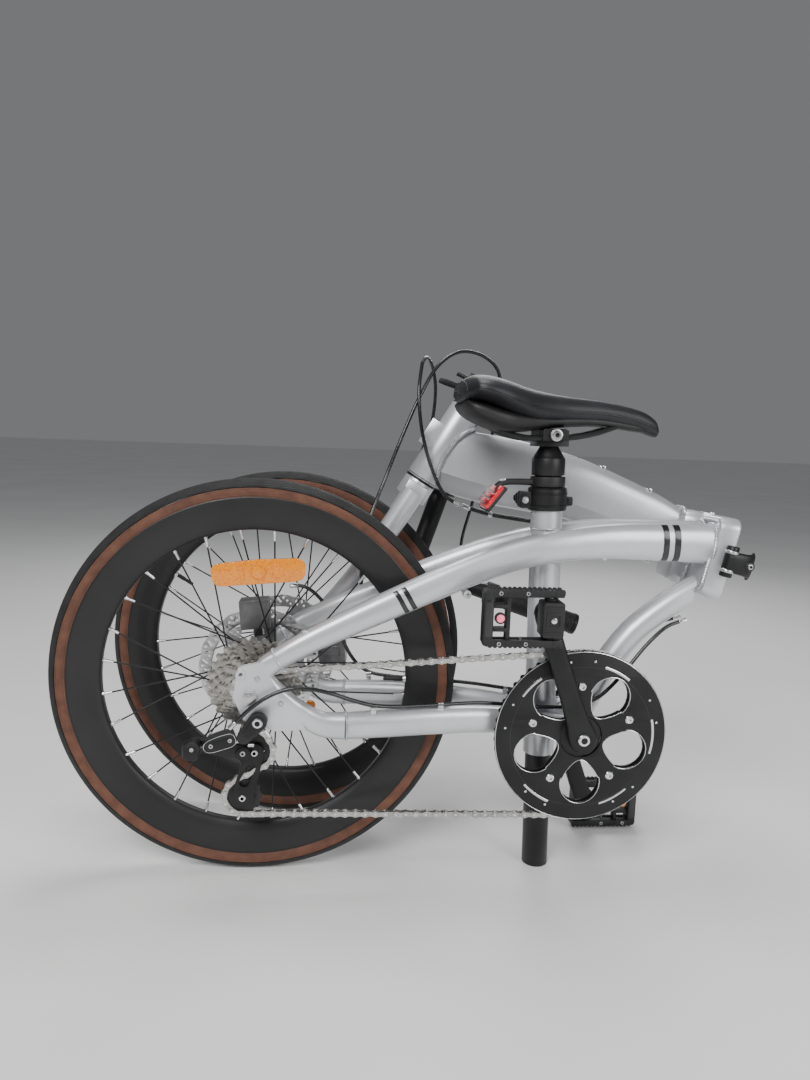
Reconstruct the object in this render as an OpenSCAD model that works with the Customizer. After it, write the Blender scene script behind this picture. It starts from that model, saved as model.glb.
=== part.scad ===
// Folding bicycle, shown folded: the front half has swung round beside the rear half.
// Axes: +X is the riding direction of the rear half, +Y its left side, +Z up.
// The origin is on the ground, in the middle of the seatpost's foot.

/* [Wheels] */
// Outside diameter of the tyres
wheel_d = 507; // [420:1:540]
// Width of the tyres
tyre_w = 28; // [22:1:40]
// Radial depth of the deep-section rims
rim_depth = 41; // [20:1:55]
// Width of the rims at the tyre
rim_w = 24; // [20:1:34]
// Wall of the hollow rims
rim_wall = 2; // [1.5:0.1:3]
// Number of spokes in each wheel
spoke_count = 28; // [20:4:36]
// Diameter of a spoke
spoke_d = 2; // [1.6:0.1:2.6]
// Diameter of the brake rotors
rotor_d = 160; // [140:1:180]
// Diameter of the wheel axles
axle_d = 10; // [8:0.5:12]
// Dropout spacing at the rear
rear_spacing = 135; // [130:1:150]
// Dropout spacing at the front
front_spacing = 100; // [96:1:120]

/* [Drive] */
// Crank length, axle to pedal axle
crank_len = 170; // [140:1:175]
// Teeth on the chainring
ring_teeth = 53; // [44:1:56]
// Teeth on the sprocket that carries the chain
cog_teeth = 11; // [11:1:15]
// Teeth on the largest sprocket
big_cog_teeth = 28; // [22:1:32]
// Diameter of the crank spindle
spindle_d = 17; // [14:0.5:19]
// Outside diameter of the bottom bracket shell
shell_d = 40; // [38:0.5:46]
// Width of the bottom bracket shell
shell_w = 68; // [66:1:73]
// Width of a pedal across its treads
pedal_w = 70; // [56:1:72]
// Length of a pedal along its axle
pedal_len = 96; // [80:1:104]
// Diameter of a pedal's axle
pedal_axle_d = 14; // [12:0.5:16]

/* [Frame] */
// Rear axle to crank axis, along the chainstays
bb_ahead = 408; // [380:1:440]
// Height of the rear axle above the crank axis, as folded
bb_drop = 55.5; // [40:0.5:70]
// Wall of the seat tube
seat_wall = 3; // [2:0.1:5]
// Outside diameter of the seatpost
post_d = 33.9; // [30:0.1:35]
// Height of the seat tube's top above the rear axle
seat_top = 247; // [200:1:250]
// Height of the arch tubes at the seat tube, above the rear axle
arch_rise = 180; // [165:1:195]
// Width of each arch tube
arch_w = 28; // [24:1:30]
// Wall of the frame tubes
tube_wall = 2.4; // [1.8:0.1:3]
// Outside diameter of the down tube
down_d = 34; // [28:1:36]

/* [Main hinge] */
// Rear axle to hinge face, along the ground
hinge_ahead = 598; // [580:1:640]
// Height of the hinge's middle above the rear axle
hinge_rise = 166.5; // [150:0.5:180]
// Offset of the hinge pin to the left of the frame's middle
hinge_off = 52; // [50:0.5:60]
// Height of the hinge castings
hinge_h = 108; // [96:1:120]
// Diameter of the hinge pin
pin_d = 10; // [8:0.5:12]

/* [Front half] */
// Hinge face to steering axis at the head tube's lower end
head_ahead = 397; // [380:1:430]
// Length of the head tube
head_len = 118; // [100:1:130]
// Outside diameter of the head tube
head_d = 46; // [44:1:50]
// Diameter of the steerer
steerer_d = 28.6; // [25:0.2:30]
// Offset of the front axle from the steering axis
rake = 36; // [28:1:44]
// Front axle below the head tube's lower end, along the steering axis
fork_len = 311; // [300:1:340]

/* [Handlepost and saddle] */
// Length of the handlepost from its hinge to the handlebar
post_len = 292; // [270:1:310]
// Diameter of the outer handlepost
handlepost_d = 34; // [30:1:38]
// Diameter of the inner stem
stem_d = 28.6; // [25:0.2:30]
// Length of the handlebar
bar_len = 540; // [480:1:560]
// Diameter of the handlebar
bar_d = 25.4; // [22:0.2:31.8]
// Width of the saddle
saddle_w = 150; // [130:1:170]
// Diameter of the saddle rails
rail_d = 7; // [6:0.5:8]

/* [Fits] */
// Radial gap of a running fit
run_gap = 0.05; // [0.02:0.01:0.1]
// Gap between moving pieces that aren't a fit
gap = 0.5; // [0.3:0.1:1]

/* [Hidden] */

$fn = 48;
silver = "silver";
black = "#1c1c1e";
steel = "#b8babd";

// Wheel and drive
axle_z = wheel_d / 2;
tyre_r = wheel_d / 2;
rim_r = tyre_r - 22.5;
rim_in_r = rim_r - rim_depth;
flange_r = 27;
flange_t = 3;
rotor_t = 1.8;
rotor_y = 49;
front_rotor_y = 35;
chain_pitch = 12.7;
chain_y = -50;
chain_w = 7;
chain_h = 8.4;
ring_r = chain_pitch / 2 / sin(180 / ring_teeth);
cog_r = chain_pitch / 2 / sin(180 / cog_teeth);
jockey_r = chain_pitch / 2 / sin(180 / 11);
upper_jockey = [4, -76];
lower_jockey = [-10, -133.5];
crank_angle = 110;
right_end = [bb_ahead + crank_len * cos(crank_angle), -bb_drop + crank_len * sin(crank_angle)];
left_end = [bb_ahead - crank_len * cos(crank_angle), -bb_drop - crank_len * sin(crank_angle)];
arm_y = 59;
arm_t = 13;
pedal_y = 91;

// Frame
seat_lean = 1.3;
seat_off = 38;
seat_x = bb_ahead - seat_off;
foot_x = seat_x + (axle_z - bb_drop) * tan(seat_lean);
post_r = post_d / 2;
seat_bore_r = post_r + run_gap;
seat_tube_d = 2 * (seat_bore_r + seat_wall);
clamp_h = 30;
hinge_tilt = 12.3;
fold_angle = 173.7;
casting_w = 70;
casting_t = 26;
knuckle_r = 11;
knuckle_h = 22;

// Front half
head_lean = 18.7;
crown_h = 30;
leg_y = front_spacing / 2 + 8;
post_fold_y = -44;
post_hinge_z = head_len + 45;
post_toe = 6.4;

// Position and size at points along the right arch tube: x, y, z, half width, half height
arch = [
  [31, -64, 43.6, 11.5, 13], [62, -63.5, 62, 11.5, 14], [110, -56, 84, 12.5, 16],
  [175, -48, 113, arch_w / 2, 18], [250, -40, 145, arch_w / 2, 19],
  [310, -seat_tube_d / 2 - arch_w / 2, 167, arch_w / 2, 19.5],
  [seat_x - 8, -seat_tube_d / 2 - arch_w / 2, arch_rise, arch_w / 2, 20],
  [430, -29, arch_rise + 8, arch_w / 2, 22], [500, -20, 188, 15, 24],
  [hinge_ahead - 30, -15.5, hinge_rise + 20, 15, 26],
  [hinge_ahead - 6, -15.5, hinge_rise + 17, 15, 26]
];
// Right chainstay behind its forged elbow, and the elbow itself
stay = [
  [112, -63, -39, 12, 16], [160, -58, -38, 12.5, 17], [230, -46, -38, 12.5, 17.5],
  [296, -33, -42, 11.5, 17], [350, -28, -49, 11, 16], [bb_ahead - 12, -26, -55, 11, 15]
];
elbow = [
  [31, -64, 43.6, 10, 12], [18, -64, 34, 10, 13], [14, -64, 23, 10, 13],
  [22, -64, 10, 10, 12], [48, -64, -14, 10, 12], [72, -63.5, -31, 10, 13.5],
  [90, -63, -38, 11, 15], [112, -63, -39, 12, 16]
];
// Down tube, from the hinge casting to the bottom bracket shell
down = [
  [hinge_ahead - 14, 0, hinge_rise - 33, down_d / 2, down_d / 2],
  [560, 0, 120, down_d / 2, down_d / 2], [530, 0, 101, down_d / 2, down_d / 2], [488, 0, 66, down_d / 2, down_d / 2],
  [456, 0, 22, down_d / 2, down_d / 2], [434, 0, -20, down_d / 2, down_d / 2],
  [bb_ahead + 8, 0, -bb_drop, down_d / 2, down_d / 2]
];
// Front main tube: x, y, z of its middle, half width, half height, slope of the section
main_tube = [
  [casting_t, 0, 18, 21, 33, 0], [60, 0, 25, 22, 37, 0.05],
  [120, 0, 33, 24, 41, 0.1], [180, 0, 40, 25, 44, 0.16],
  [240, 0, 40, 25, 48, 0.22], [300, 0, 38, 24, 50, 0.28], [348, 0, 38, 22, 47, 0.33],
  [head_ahead - 14, 0, 40, 21, 44, 0.34]
];
// Saddle: x, height of its middle, half width as a share, half height
saddle = [
  [-119, 366, 0.5, 8], [-114, 368, 0.8, 14], [-103, 371, 0.97, 18], [-85, 368, 1, 21],
  [-62, 361, 0.92, 23], [-36, 354, 0.72, 22], [-14, 350, 0.55, 21], [20, 348, 0.36, 18],
  [64, 346, 0.26, 15], [100, 340, 0.23, 14], [120, 334, 0.21, 14], [133, 328, 0.17, 12],
  [139, 324, 0.11, 7]
];
post_top = 288;
rail_z = post_top + 26;
// Cable routes, each a hand-laid list of points
shift_route = [
  [556, -8, 84], [530, -12, 76], [504, -16, 54], [480, -20, 26], [458, -22, 0],
  [436, -24, -18], [404, -28, -26], [366, -30, -27], [330, -33, -23], [280, -40, -18],
  [230, -50, -17], [180, -60, -16], [146, -68, -12], [118, -76, -2], [92, -81, 8],
  [62, -83, 14], [34, -84, 10], [6, -85.5, -6], [-22, -84, -34]
];
brake_route = [
  [556, 8, 84], [530, 12, 76], [504, 16, 54], [480, 20, 26], [458, 22, 0],
  [436, 24, -18], [404, 28, -26], [366, 30, -27], [330, 33, -23], [280, 40, -18],
  [230, 50, -17], [180, 60, -16], [146, 68, -12], [124, 78, 4], [104, 82, 40],
  [84, 76, 80], [60, 68, 104], [38, 60, 108]
];
tube_route_a = [
  [330, 20, -22], [290, 18, -24], [240, 16, -20], [190, 15, -16], [140, 14, -20],
  [90, 13, -26], [50, 12, -32]
];
bar_route_a = [
  [464, -113, -113], [444, -114, -90], [426, -112, -50], [410, -104, 10],
  [402, -86, 80], [408, -62, 130], [420, -40, 160], [432, -12, 170], [436, 14, 158],
  [430, 34, 116], [412, 40, 64], [386, 36, 18], [360, 27, -12], [336, 21, -21]
];
bar_route_b = [
  [259, -110, -147], [288, -114, -134], [308, -113, -90], [308, -110, -20],
  [306, -102, 60], [309, -86, 134], [322, -68, 180], [352, -44, 196], [388, -16, 190],
  [414, 8, 160], [428, 28, 110], [438, 42, 50], [446, 50, -10], [452, 70, -60],
  [452, 78, -110], [430, 76, -200]
];

// ---------- shapes ----------

function unit(v) = v / norm(v);
function xyz(p) = [p.x, p.y, p.z];
// Smooth curve through the points P, m steps between two of them
function curve(a, b, c, d, u) =
  0.5 * (2 * b + (c - a) * u + (2 * a - 5 * b + 4 * c - d) * u * u
  + (3 * b - a - 3 * c + d) * u * u * u);
function smooth(P, m) = concat(
  [for (i = [0 : len(P) - 2], j = [0 : m - 1])
    curve(P[max(i - 1, 0)], P[i], P[i + 1], P[min(i + 2, len(P) - 1)], j / m)],
  [P[len(P) - 1]]);
function round_out(v, e) = sign(v) * pow(abs(v), 2 / e);
// Unit direction of the path P at its point i
function along(P, i) = unit(xyz(P[min(i + 1, len(P) - 1)]) - xyz(P[max(i - 1, 0)]));
// Ring of n points across the path at point i, of half width w and half height h
function ring(P, i, w, h, n, e, side) =
  let (t = along(P, i), s = unit(side - t * (side * t)), u = cross(t, s))
  [for (k = [0 : n - 1])
    xyz(P[i]) + s * w * round_out(cos(360 * k / n), e)
    + u * h * round_out(sin(360 * k / n), e)];

// Skin over rings of n points; closed joins the last ring to the first
module skin(rings, n, closed = false) {
  m = len(rings);
  last = closed ? m - 1 : m - 2;
  sides = [for (i = [0 : last], k = [0 : n - 1])
    let (a = i * n + k, b = i * n + (k + 1) % n,
      c = ((i + 1) % m) * n + (k + 1) % n, d = ((i + 1) % m) * n + k)
    each [[a, d, c], [a, c, b]]];
  caps = closed ? [] : [[for (k = [0 : n - 1]) k], [for (k = [n - 1 : -1 : 0]) (m - 1) * n + k]];
  polyhedron([for (r = rings) each r], concat(sides, caps), convexity = 6);
}

// Hollow frame tube along points of x, y, z, half width and half height
module frame_tube(P, m, n = 16, e = 2, wall = tube_wall) {
  Q = smooth(P, m);
  N = len(Q) - 1;
  outer = [for (i = [0 : N]) ring(Q, i, Q[i][3], Q[i][4], n, e, [0, 1, 0])];
  inner = [for (i = [N : -1 : 0])
    ring(Q, i, Q[i][3] - wall, Q[i][4] - wall, n, e, [0, 1, 0])];
  skin(concat(outer, inner), n, true);
}

// Solid rod that sweeps along points of x, y, z, half width and half height
module solid_tube(P, m, n = 16, e = 2) {
  Q = smooth(P, m);
  skin([for (i = [0 : len(Q) - 1]) ring(Q, i, Q[i][3], Q[i][4], n, e, [0, 1, 0])], n);
}

// Cable housing of radius r along hand-laid points
module housing(P, r = 2.5, side = [0.3, 1, 0.2]) {
  Q = smooth(P, 2);
  skin([for (i = [0 : len(Q) - 1]) ring(Q, i, r, r, 8, 2, side)], 8);
}

// Straight rod between two points
module rod(a, b, r) {
  d = b - a;
  translate(a)
    rotate([0, acos(d.z / norm(d)), atan2(d.y, d.x)])
      cylinder(h = norm(d), r = r);
}

// Disc across Y: centre x and z, from y0 to y1
module disc(x, z, y0, y1, r) {
  translate([x, y1, z])
    rotate([90, 0, 0])
      cylinder(h = y1 - y0, r = r);
}

// Flat plate in the X-Z plane from a 2D child, from y0 to y1
module plate(y0, y1) {
  translate([0, y1, 0])
    rotate([90, 0, 0])
      linear_extrude(y1 - y0)
        children();
}

// Turned solid about Y from a 2D child that gives radius and minus y
module turned() {
  rotate([90, 0, 0])
    rotate_extrude($fn = 96)
      children();
}

// Bar with round ends in 2D
module bar_2d(a, b, wa, wb) {
  hull() {
    translate(a)
      circle(wa, $fn = 32);
    translate(b)
      circle(wb, $fn = 32);
  }
}

// ---------- places ----------

// Rear half: the children are drawn about the rear axle's middle
module at_rear() {
  translate([-foot_x, 0, axle_z])
    children();
}

// Children drawn on the seat tube's axis, z measured from the rear axle's height
module on_seat_axis() {
  at_rear()
    translate([seat_x, 0, -bb_drop])
      rotate([0, -seat_lean, 0])
        translate([0, 0, bb_drop])
          children();
}

// Rear half drawn about the hinge: x from its face, z along its pin
module at_hinge() {
  at_rear()
    translate([hinge_ahead, 0, hinge_rise])
      rotate([0, hinge_tilt, 0])
        children();
}

// Front half, drawn straight ahead of the hinge and then folded
module at_front() {
  at_hinge()
    translate([0, hinge_off, 0])
      rotate([0, 0, fold_angle])
        translate([0, -hinge_off, 0])
          children();
}

// Front half about the steering axis, z up along it from the head tube's lower end
module on_steering() {
  at_front()
    translate([head_ahead, 0, 0])
      rotate([0, -head_lean, 0])
        children();
}

// Handlepost, drawn upright about its own axis from the hinge up, then folded down
module on_post() {
  on_steering()
    translate([0, post_fold_y, post_hinge_z])
      rotate([0, post_toe, 0])
        rotate([180, 0, 0])
          rotate([0, -post_toe, 0])
            translate([0, -post_fold_y, -post_hinge_z])
              children();
}

// Handlebar on the turned stem: drawn along Y, then turned in line with the wheel
module on_bar() {
  on_post()
    translate([0, 0, post_hinge_z + post_len])
      rotate([0, 0, 90])
        children();
}

// Front wheel, drawn about its axle's middle
module front_wheel_place() {
  on_steering()
    translate([rake, 0, -fork_len])
      children();
}

// ---------- wheels ----------

// Hollow deep rim; its bed and side walls carry the tyre
module rim() {
  w = rim_w / 2;
  difference() {
    turned()
      difference() {
        polygon([[rim_in_r, -w * 0.45], [rim_in_r, w * 0.45], [rim_in_r + 5, w * 0.75],
          [rim_in_r + rim_depth * 0.6, w], [rim_r, w], [rim_r, w - 1.8],
          [rim_r - 6, w - 1.8], [rim_r - 8, w - 4], [rim_r - 8, 4 - w],
          [rim_r - 6, 1.8 - w], [rim_r, 1.8 - w], [rim_r, -w],
          [rim_in_r + rim_depth * 0.6, -w], [rim_in_r + 5, -w * 0.75]]);
        polygon([[rim_in_r + rim_wall, rim_wall - w * 0.45 - 0.6],
          [rim_in_r + rim_wall, w * 0.45 + 0.6 - rim_wall],
          [rim_in_r + 6, w * 0.75 - rim_wall], [rim_in_r + rim_depth * 0.6, w - rim_wall],
          [rim_r - 11, w - rim_wall - 1], [rim_r - 11, rim_wall + 1 - w],
          [rim_in_r + rim_depth * 0.6, rim_wall - w], [rim_in_r + 6, rim_wall - w * 0.75]]);
      }
    // valve hole
    rotate([0, 90, 0])
      cylinder(h = rim_r + 10, r = 3);
  }
}

// Tyre, open towards the rim's bed
module tyre() {
  centre_r = tyre_r - tyre_w / 2;
  turned()
    difference() {
      translate([centre_r, 0])
        circle(tyre_w / 2);
      translate([centre_r, 0])
        circle(tyre_w / 2 - 3);
      translate([0, -tyre_w])
        square([rim_r, 2 * tyre_w]);
    }
}

// Crossed spokes from both flanges to the rim; flange_in and flange_out are their y
module spokes(y_right, y_left) {
  pairs = spoke_count / 4;
  for (s = [0, 1], i = [0 : pairs - 1], lead = [-1, 1]) {
    rim_a = (i + 0.25 * lead + 0.25 * (s * 2 - 1) / 2) * 360 / pairs;
    hub_a = rim_a + lead * 62;
    y = (s == 0 ? y_right : y_left) + lead * 1.8;
    rod([flange_r * cos(hub_a), y, flange_r * sin(hub_a)],
      [rim_in_r * cos(rim_a), (s * 2 - 1) * 2, rim_in_r * sin(rim_a)], spoke_d / 2);
  }
}

// Hub shell with two flanges and a bore that runs on the axle
module hub(y_right, y_left, y_end) {
  difference() {
    union() {
      disc(0, 0, y_right - 2, y_end, 16);
      for (y = [y_right, y_left])
        disc(0, 0, y - flange_t / 2, y + flange_t / 2, flange_r + 3);
      disc(0, 0, y_end - 8, y_end, 23);
    }
    disc(0, 0, -rear_spacing, rear_spacing, axle_d / 2 + run_gap);
  }
}

// Disc brake rotor with six leaning arms
module rotor(y) {
  r = rotor_d / 2;
  plate(y, y + rotor_t)
    difference() {
      union() {
        difference() {
          circle(r);
          circle(r - 15);
        }
        circle(23);
        for (i = [0 : 5])
          rotate(i * 60)
            translate([9, -3.5])
              rotate(18)
                square([r - 16, 7]);
      }
      circle(14);
      for (i = [0 : 23])
        rotate(i * 15)
          translate([r - 4.5 - 5 * (i % 2), 0])
            circle(2.2);
    }
}

module rear_tyre() color("#26221f") at_rear() tyre();
module rear_rim() color(black) at_rear() rim();
module rear_spokes() color(black) at_rear() spokes(-17, 31);
module rear_hub() color(black) at_rear() hub(-17, 31, rotor_y);
module rear_rotor() color(steel) at_rear() rotor(rotor_y);
module front_tyre() color("#26221f") front_wheel_place() tyre();
module front_rim() color(black) front_wheel_place() rim();
module front_spokes() color(black) front_wheel_place() spokes(-32, 16);
module front_hub() color(black) front_wheel_place() hub(-32, 16, front_rotor_y);
module front_rotor() color(steel) front_wheel_place() rotor(front_rotor_y);

module rear_axle() color(steel) at_rear() {
  disc(0, 0, -rear_spacing / 2 - 14, rear_spacing / 2 + 14, axle_d / 2);
  for (s = [-1, 1])
    translate([0, s * (rear_spacing / 2 + 6) + (s > 0 ? 7 : 0), 0])
      rotate([90, 0, 0])
        cylinder(h = 7, r = 9, $fn = 6);
}

// ---------- drive ----------

module sprocket(teeth, y) {
  disc(0, 0, y, y + 1.8, chain_pitch / 2 / sin(180 / teeth) - chain_h / 2 - 0.1);
}

// Eight sprockets on one carrier; the smallest, outermost, carries the chain
module cassette() color(steel) at_rear() difference() {
  union() {
    for (i = [0 : 6])
      sprocket(round(13 + (big_cog_teeth - 13) * i / 6), chain_y + 4 + i * 3.8);
    disc(0, 0, chain_y - 1, chain_y + 1, cog_r - chain_h / 2 - 0.2);
    disc(0, 0, chain_y - 3, chain_y + 29, 15);
  }
  disc(0, 0, -rear_spacing, 0, axle_d / 2 + run_gap);
}

// The chain's circles in order: centre x, z, radius and side
chain_path = [
  [bb_ahead, -bb_drop, ring_r, 1], [0, 0, cog_r, 1],
  [upper_jockey.x, upper_jockey.y, jockey_r, -1],
  [lower_jockey.x, lower_jockey.y, jockey_r, 1]
];
// Travel direction of the straight run between two circles
function run_dir(a, b) =
  let (d = [b.x - a.x, b.y - a.y])
  atan2(d.y, d.x) + asin((a[2] * a[3] - b[2] * b[3]) / norm(d));
// Turn from one direction to the next, always the way the chain bends round the circle
function turn(from, to, s) = let (d = ((to - from) * s % 360 + 360) % 360) d * s;
function chain_side(off) = [
  for (i = [0 : 3])
    let (c = chain_path[i], a = run_dir(chain_path[(i + 3) % 4], c),
      b = turn(a, run_dir(c, chain_path[(i + 1) % 4]), c[3]),
      n = max(2, ceil(abs(b) / 6)))
    for (k = [0 : n])
      let (t = a + b * k / n, r = c[2] * c[3] + off)
      [c.x + r * sin(t), c.y - r * cos(t)]
];

module chain() color(silver) at_rear()
  plate(chain_y - chain_w / 2, chain_y + chain_w / 2)
    difference() {
      polygon(chain_side(chain_h / 2));
      polygon(chain_side(-chain_h / 2));
    }

module bb_cartridge() color("dimgray") at_rear() difference() {
  union() {
    disc(bb_ahead, -bb_drop, -shell_w / 2, shell_w / 2, shell_d / 2 - 3);
    for (s = [-1, 1])
      disc(bb_ahead, -bb_drop, s > 0 ? shell_w / 2 : -shell_w / 2 - 3,
        s > 0 ? shell_w / 2 + 3 : -shell_w / 2, shell_d / 2 - 1);
  }
  disc(bb_ahead, -bb_drop, -shell_w, shell_w, spindle_d / 2 + run_gap);
}

module crank_spindle() color(steel) at_rear()
  disc(bb_ahead, -bb_drop, -arm_y - 6, arm_y + 6, spindle_d / 2);

// Crank arm on the side s, from the spindle to a pedal axle at end
module crank_arm(end, s) {
  y0 = s > 0 ? arm_y : -arm_y - arm_t;
  difference() {
    union() {
      plate(y0, y0 + arm_t)
        bar_2d([bb_ahead, -bb_drop], end, 18, 18 - crank_len / 34);
      disc(bb_ahead, -bb_drop, s > 0 ? shell_w / 2 + 4 : y0, s > 0 ? y0 : -shell_w / 2 - 4, 15);
    }
    disc(bb_ahead, -bb_drop, s > 0 ? 0 : -arm_y - 6, s > 0 ? arm_y + 6 : 0, spindle_d / 2);
  }
  disc(end.x, end.y, s > 0 ? arm_y + arm_t : -pedal_y + 7, s > 0 ? pedal_y - 7 : -arm_y - arm_t,
    pedal_axle_d / 2);
}

// Right crank with the five-armed spider that carries the chainring
module crank_right() color(black) at_rear() {
  crank_arm(right_end, -1);
  difference() {
    plate(chain_y - 6, chain_y - 1.5)
      for (i = [0 : 4])
        bar_2d([bb_ahead, -bb_drop], ring_point(i, 65), 15, 8);
    disc(bb_ahead, -bb_drop, -arm_y, 0, 15);
    ring_bolt_holes();
  }
}

module crank_left() color(black) at_rear() crank_arm(left_end, 1);

function ring_point(i, r) =
  [bb_ahead + r * cos(92 + 72 * i), -bb_drop + r * sin(92 + 72 * i)];
module ring_bolt_holes() {
  for (i = [0 : 4])
    disc(ring_point(i, 65).x, ring_point(i, 65).y, chain_y - 20, chain_y + 20, 4);
}
// Ring plate with five windows between the spider's arms
module ring_plate(r, y0, y1, window) {
  difference() {
    disc(bb_ahead, -bb_drop, y0, y1, r);
    for (i = [0 : 4])
      plate(y0 - 1, y1 + 1)
        bar_2d(ring_point(i + 0.5, window), ring_point(i + 0.5, window * 0.72), 22, 12);
    disc(bb_ahead, -bb_drop, y0 - 1, y1 + 1, 26);
    ring_bolt_holes();
  }
}

// Chain ring inside the chain, outer guard ring and the five bolts
module chainring() color(black) at_rear() {
  ring_plate(ring_r - chain_h / 2 - 0.3, chain_y - 1.5, chain_y + 1.5, 64);
  ring_plate(ring_r + 3, chain_y - 8.5, chain_y - 6, 64);
  for (i = [0 : 4])
    disc(ring_point(i, 65).x, ring_point(i, 65).y, chain_y - 10, chain_y + 2.5, 4);
}

// ---------- pedals, s is -1 on the right ----------

module pedal_hub(end, s) difference() {
  translate([end.x, s * pedal_y, end.y]) {
    translate([-13, -17, -21])
      cube([26, 27, 42]);
    translate([0, 0, -24])
      cylinder(h = 48, r = 8);
  }
  disc(end.x, end.y, s > 0 ? 0 : -pedal_y + 7, s > 0 ? pedal_y - 7 : 0, pedal_axle_d / 2 + run_gap);
  disc(end.x, end.y, s > 0 ? 0 : -arm_y - arm_t - gap, s > 0 ? arm_y + arm_t + gap : 0, 60);
  translate([end.x, s * pedal_y, end.y - 30])
    cylinder(h = 60, r = 3 + run_gap);
}

// Open frame that folds about its pin against the crank's plane
module pedal_platform(end, s, x = 1) translate([end.x, s * pedal_y, end.y]) scale([x, 1, 1]) {
  back = pedal_len - 15;
  translate([0, 0, -pedal_w / 2 + 2])
    cylinder(h = pedal_w - 4, r = 3);
  for (k = [-1, 1])
    translate([-back, -10, k > 0 ? 25 : -pedal_w / 2])
      cube([pedal_len, 20, pedal_w / 2 - 25]);
  translate([-back, -10, -pedal_w / 2])
    cube([12, 20, pedal_w]);
  translate([-back * 0.62, -6, -pedal_w / 2])
    cube([6, 12, pedal_w]);
}

module pedal_hub_right() color(black) at_rear() pedal_hub(right_end, -1);
module pedal_hub_left() color(black) at_rear() pedal_hub(left_end, 1);
module pedal_platform_right() color(black) at_rear() pedal_platform(right_end, -1);
module pedal_platform_left() color(black) at_rear() pedal_platform(left_end, 1, -1);

// ---------- derailleur ----------

hanger = [10, -27];
link_in = [-6, -46];
link_out = [-46, -57];
link_y = -76;
// Direction of the parallelogram's pins, across the link
link_pin = unit([link_out.y - link_in.y, 0, link_in.x - link_out.x]);
cage_pivot = upper_jockey + [-13, 3];
module derailleur_body() color(black) at_rear() {
  disc(hanger.x, hanger.y, -86, -rear_spacing / 2 - 6, 9);
  plate(-86, -76)
    bar_2d(hanger, link_in, 11, 8);
  pivot = [link_in.x, link_y - 5, link_in.y];
  rod(pivot - 11 * link_pin, pivot + 11 * link_pin, 3);
}

// The parallelogram, between the body and the knuckle
module derailleur_link() color(black) at_rear() {
  plate(link_y - 5, link_y + 5)
    bar_2d(link_in + [-20, -5], link_out, 8, 7);
  pivot = [link_out.x, link_y, link_out.y];
  rod(pivot - 10 * link_pin, pivot + 10 * link_pin, 3);
}

// Knuckle that carries the cage inboard of the link
module derailleur_knuckle() color(black) at_rear() {
  translate([link_out.x - 29, link_y - 6, link_out.y - 16])
    cube([18, 20, 24]);
  plate(-63, -58)
    bar_2d(link_out + [-20, -6], cage_pivot, 8, 9);
  disc(cage_pivot.x, cage_pivot.y, -58, chain_y - 7, 5);
}

// Two cage plates and the pins of the jockey wheels
module derailleur_cage() color(black) at_rear() {
  difference() {
    for (y = [chain_y - 7, chain_y + 5])
      plate(y, y + 2)
        bar_2d(upper_jockey, lower_jockey, 13, 15);
    for (j = [upper_jockey, lower_jockey])
      disc(j.x, j.y, chain_y - 20, chain_y + 20, 3);
  }
  for (j = [upper_jockey, lower_jockey])
    disc(j.x, j.y, chain_y - 7, chain_y + 7, 3);
}

module jockey(j) difference() {
  disc(j.x, j.y, chain_y - 2, chain_y + 2, jockey_r - chain_h / 2 - 0.3);
  disc(j.x, j.y, chain_y - 3, chain_y + 3, 3 + run_gap);
}
module jockey_upper() color("dimgray") at_rear() jockey(upper_jockey);
module jockey_lower() color("dimgray") at_rear() jockey(lower_jockey);

// ---------- rear frame ----------

module seat_tube_space(r) {
  on_seat_axis()
    translate([0, 0, -axle_z])
      cylinder(h = axle_z + seat_top + 60, r = r);
}
module shell_space(r) {
  at_rear()
    disc(bb_ahead, -bb_drop, -shell_w, shell_w, r);
}

// Seat tube with the bottom bracket shell welded to its front
module seat_tube() color(silver) difference() {
  union() {
    on_seat_axis()
      translate([0, 0, -bb_drop - 42])
        cylinder(h = seat_top + bb_drop + 42, r = seat_tube_d / 2);
    at_rear()
      disc(bb_ahead, -bb_drop, -shell_w / 2, shell_w / 2, shell_d / 2);
  }
  seat_tube_space(seat_bore_r);
  shell_space(shell_d / 2 - 3);
  // expansion slot at the top
  on_seat_axis()
    translate([-seat_tube_d, -1.5, seat_top - 40])
      cube([seat_tube_d, 3, 50]);
}

module casting_space() {
  at_hinge()
    translate([-casting_t, -casting_w, -hinge_h])
      cube([4 * casting_t, 2 * casting_w, 2 * hinge_h]);
}
module arch_tube() difference() {
  at_rear()
    frame_tube(arch, 3, 16, 2.4);
  seat_tube_space(seat_tube_d / 2);
  casting_space();
}
module arch_tube_right() color(silver) arch_tube();
module arch_tube_left() color(silver) mirror([0, 1, 0]) arch_tube();

module down_tube() color(silver) difference() {
  at_rear()
    frame_tube(down, 3);
  seat_tube_space(seat_tube_d / 2);
  shell_space(shell_d / 2);
  casting_space();
}

// Chainstay, forged elbow and dropout plate, drawn for the right side
module chainstay(hanger_side) {
  difference() {
    union() {
      at_rear()
        frame_tube(stay, 3, 16, 2.4);
      at_rear()
        solid_tube(elbow, 3, 16, 3);
    }
    seat_tube_space(seat_tube_d / 2);
    shell_space(shell_d / 2);
  }
  at_rear()
    difference() {
      plate(-rear_spacing / 2 - 6, -rear_spacing / 2) {
        polygon([[-14, 36], [12, 42], [30, 12], [66, -40], [30, -42], [-8, -28], [-20, 0]]);
        if (hanger_side)
          bar_2d([0, -10], hanger, 12, 9);
      }
      disc(0, 0, -rear_spacing, 0, axle_d / 2);
      disc(-11, 27, -rear_spacing, 0, 2.5);
    }
}
module chainstay_right() color(silver) chainstay(true);
module chainstay_left() color(silver) mirror([0, 1, 0]) chainstay(false);

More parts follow.
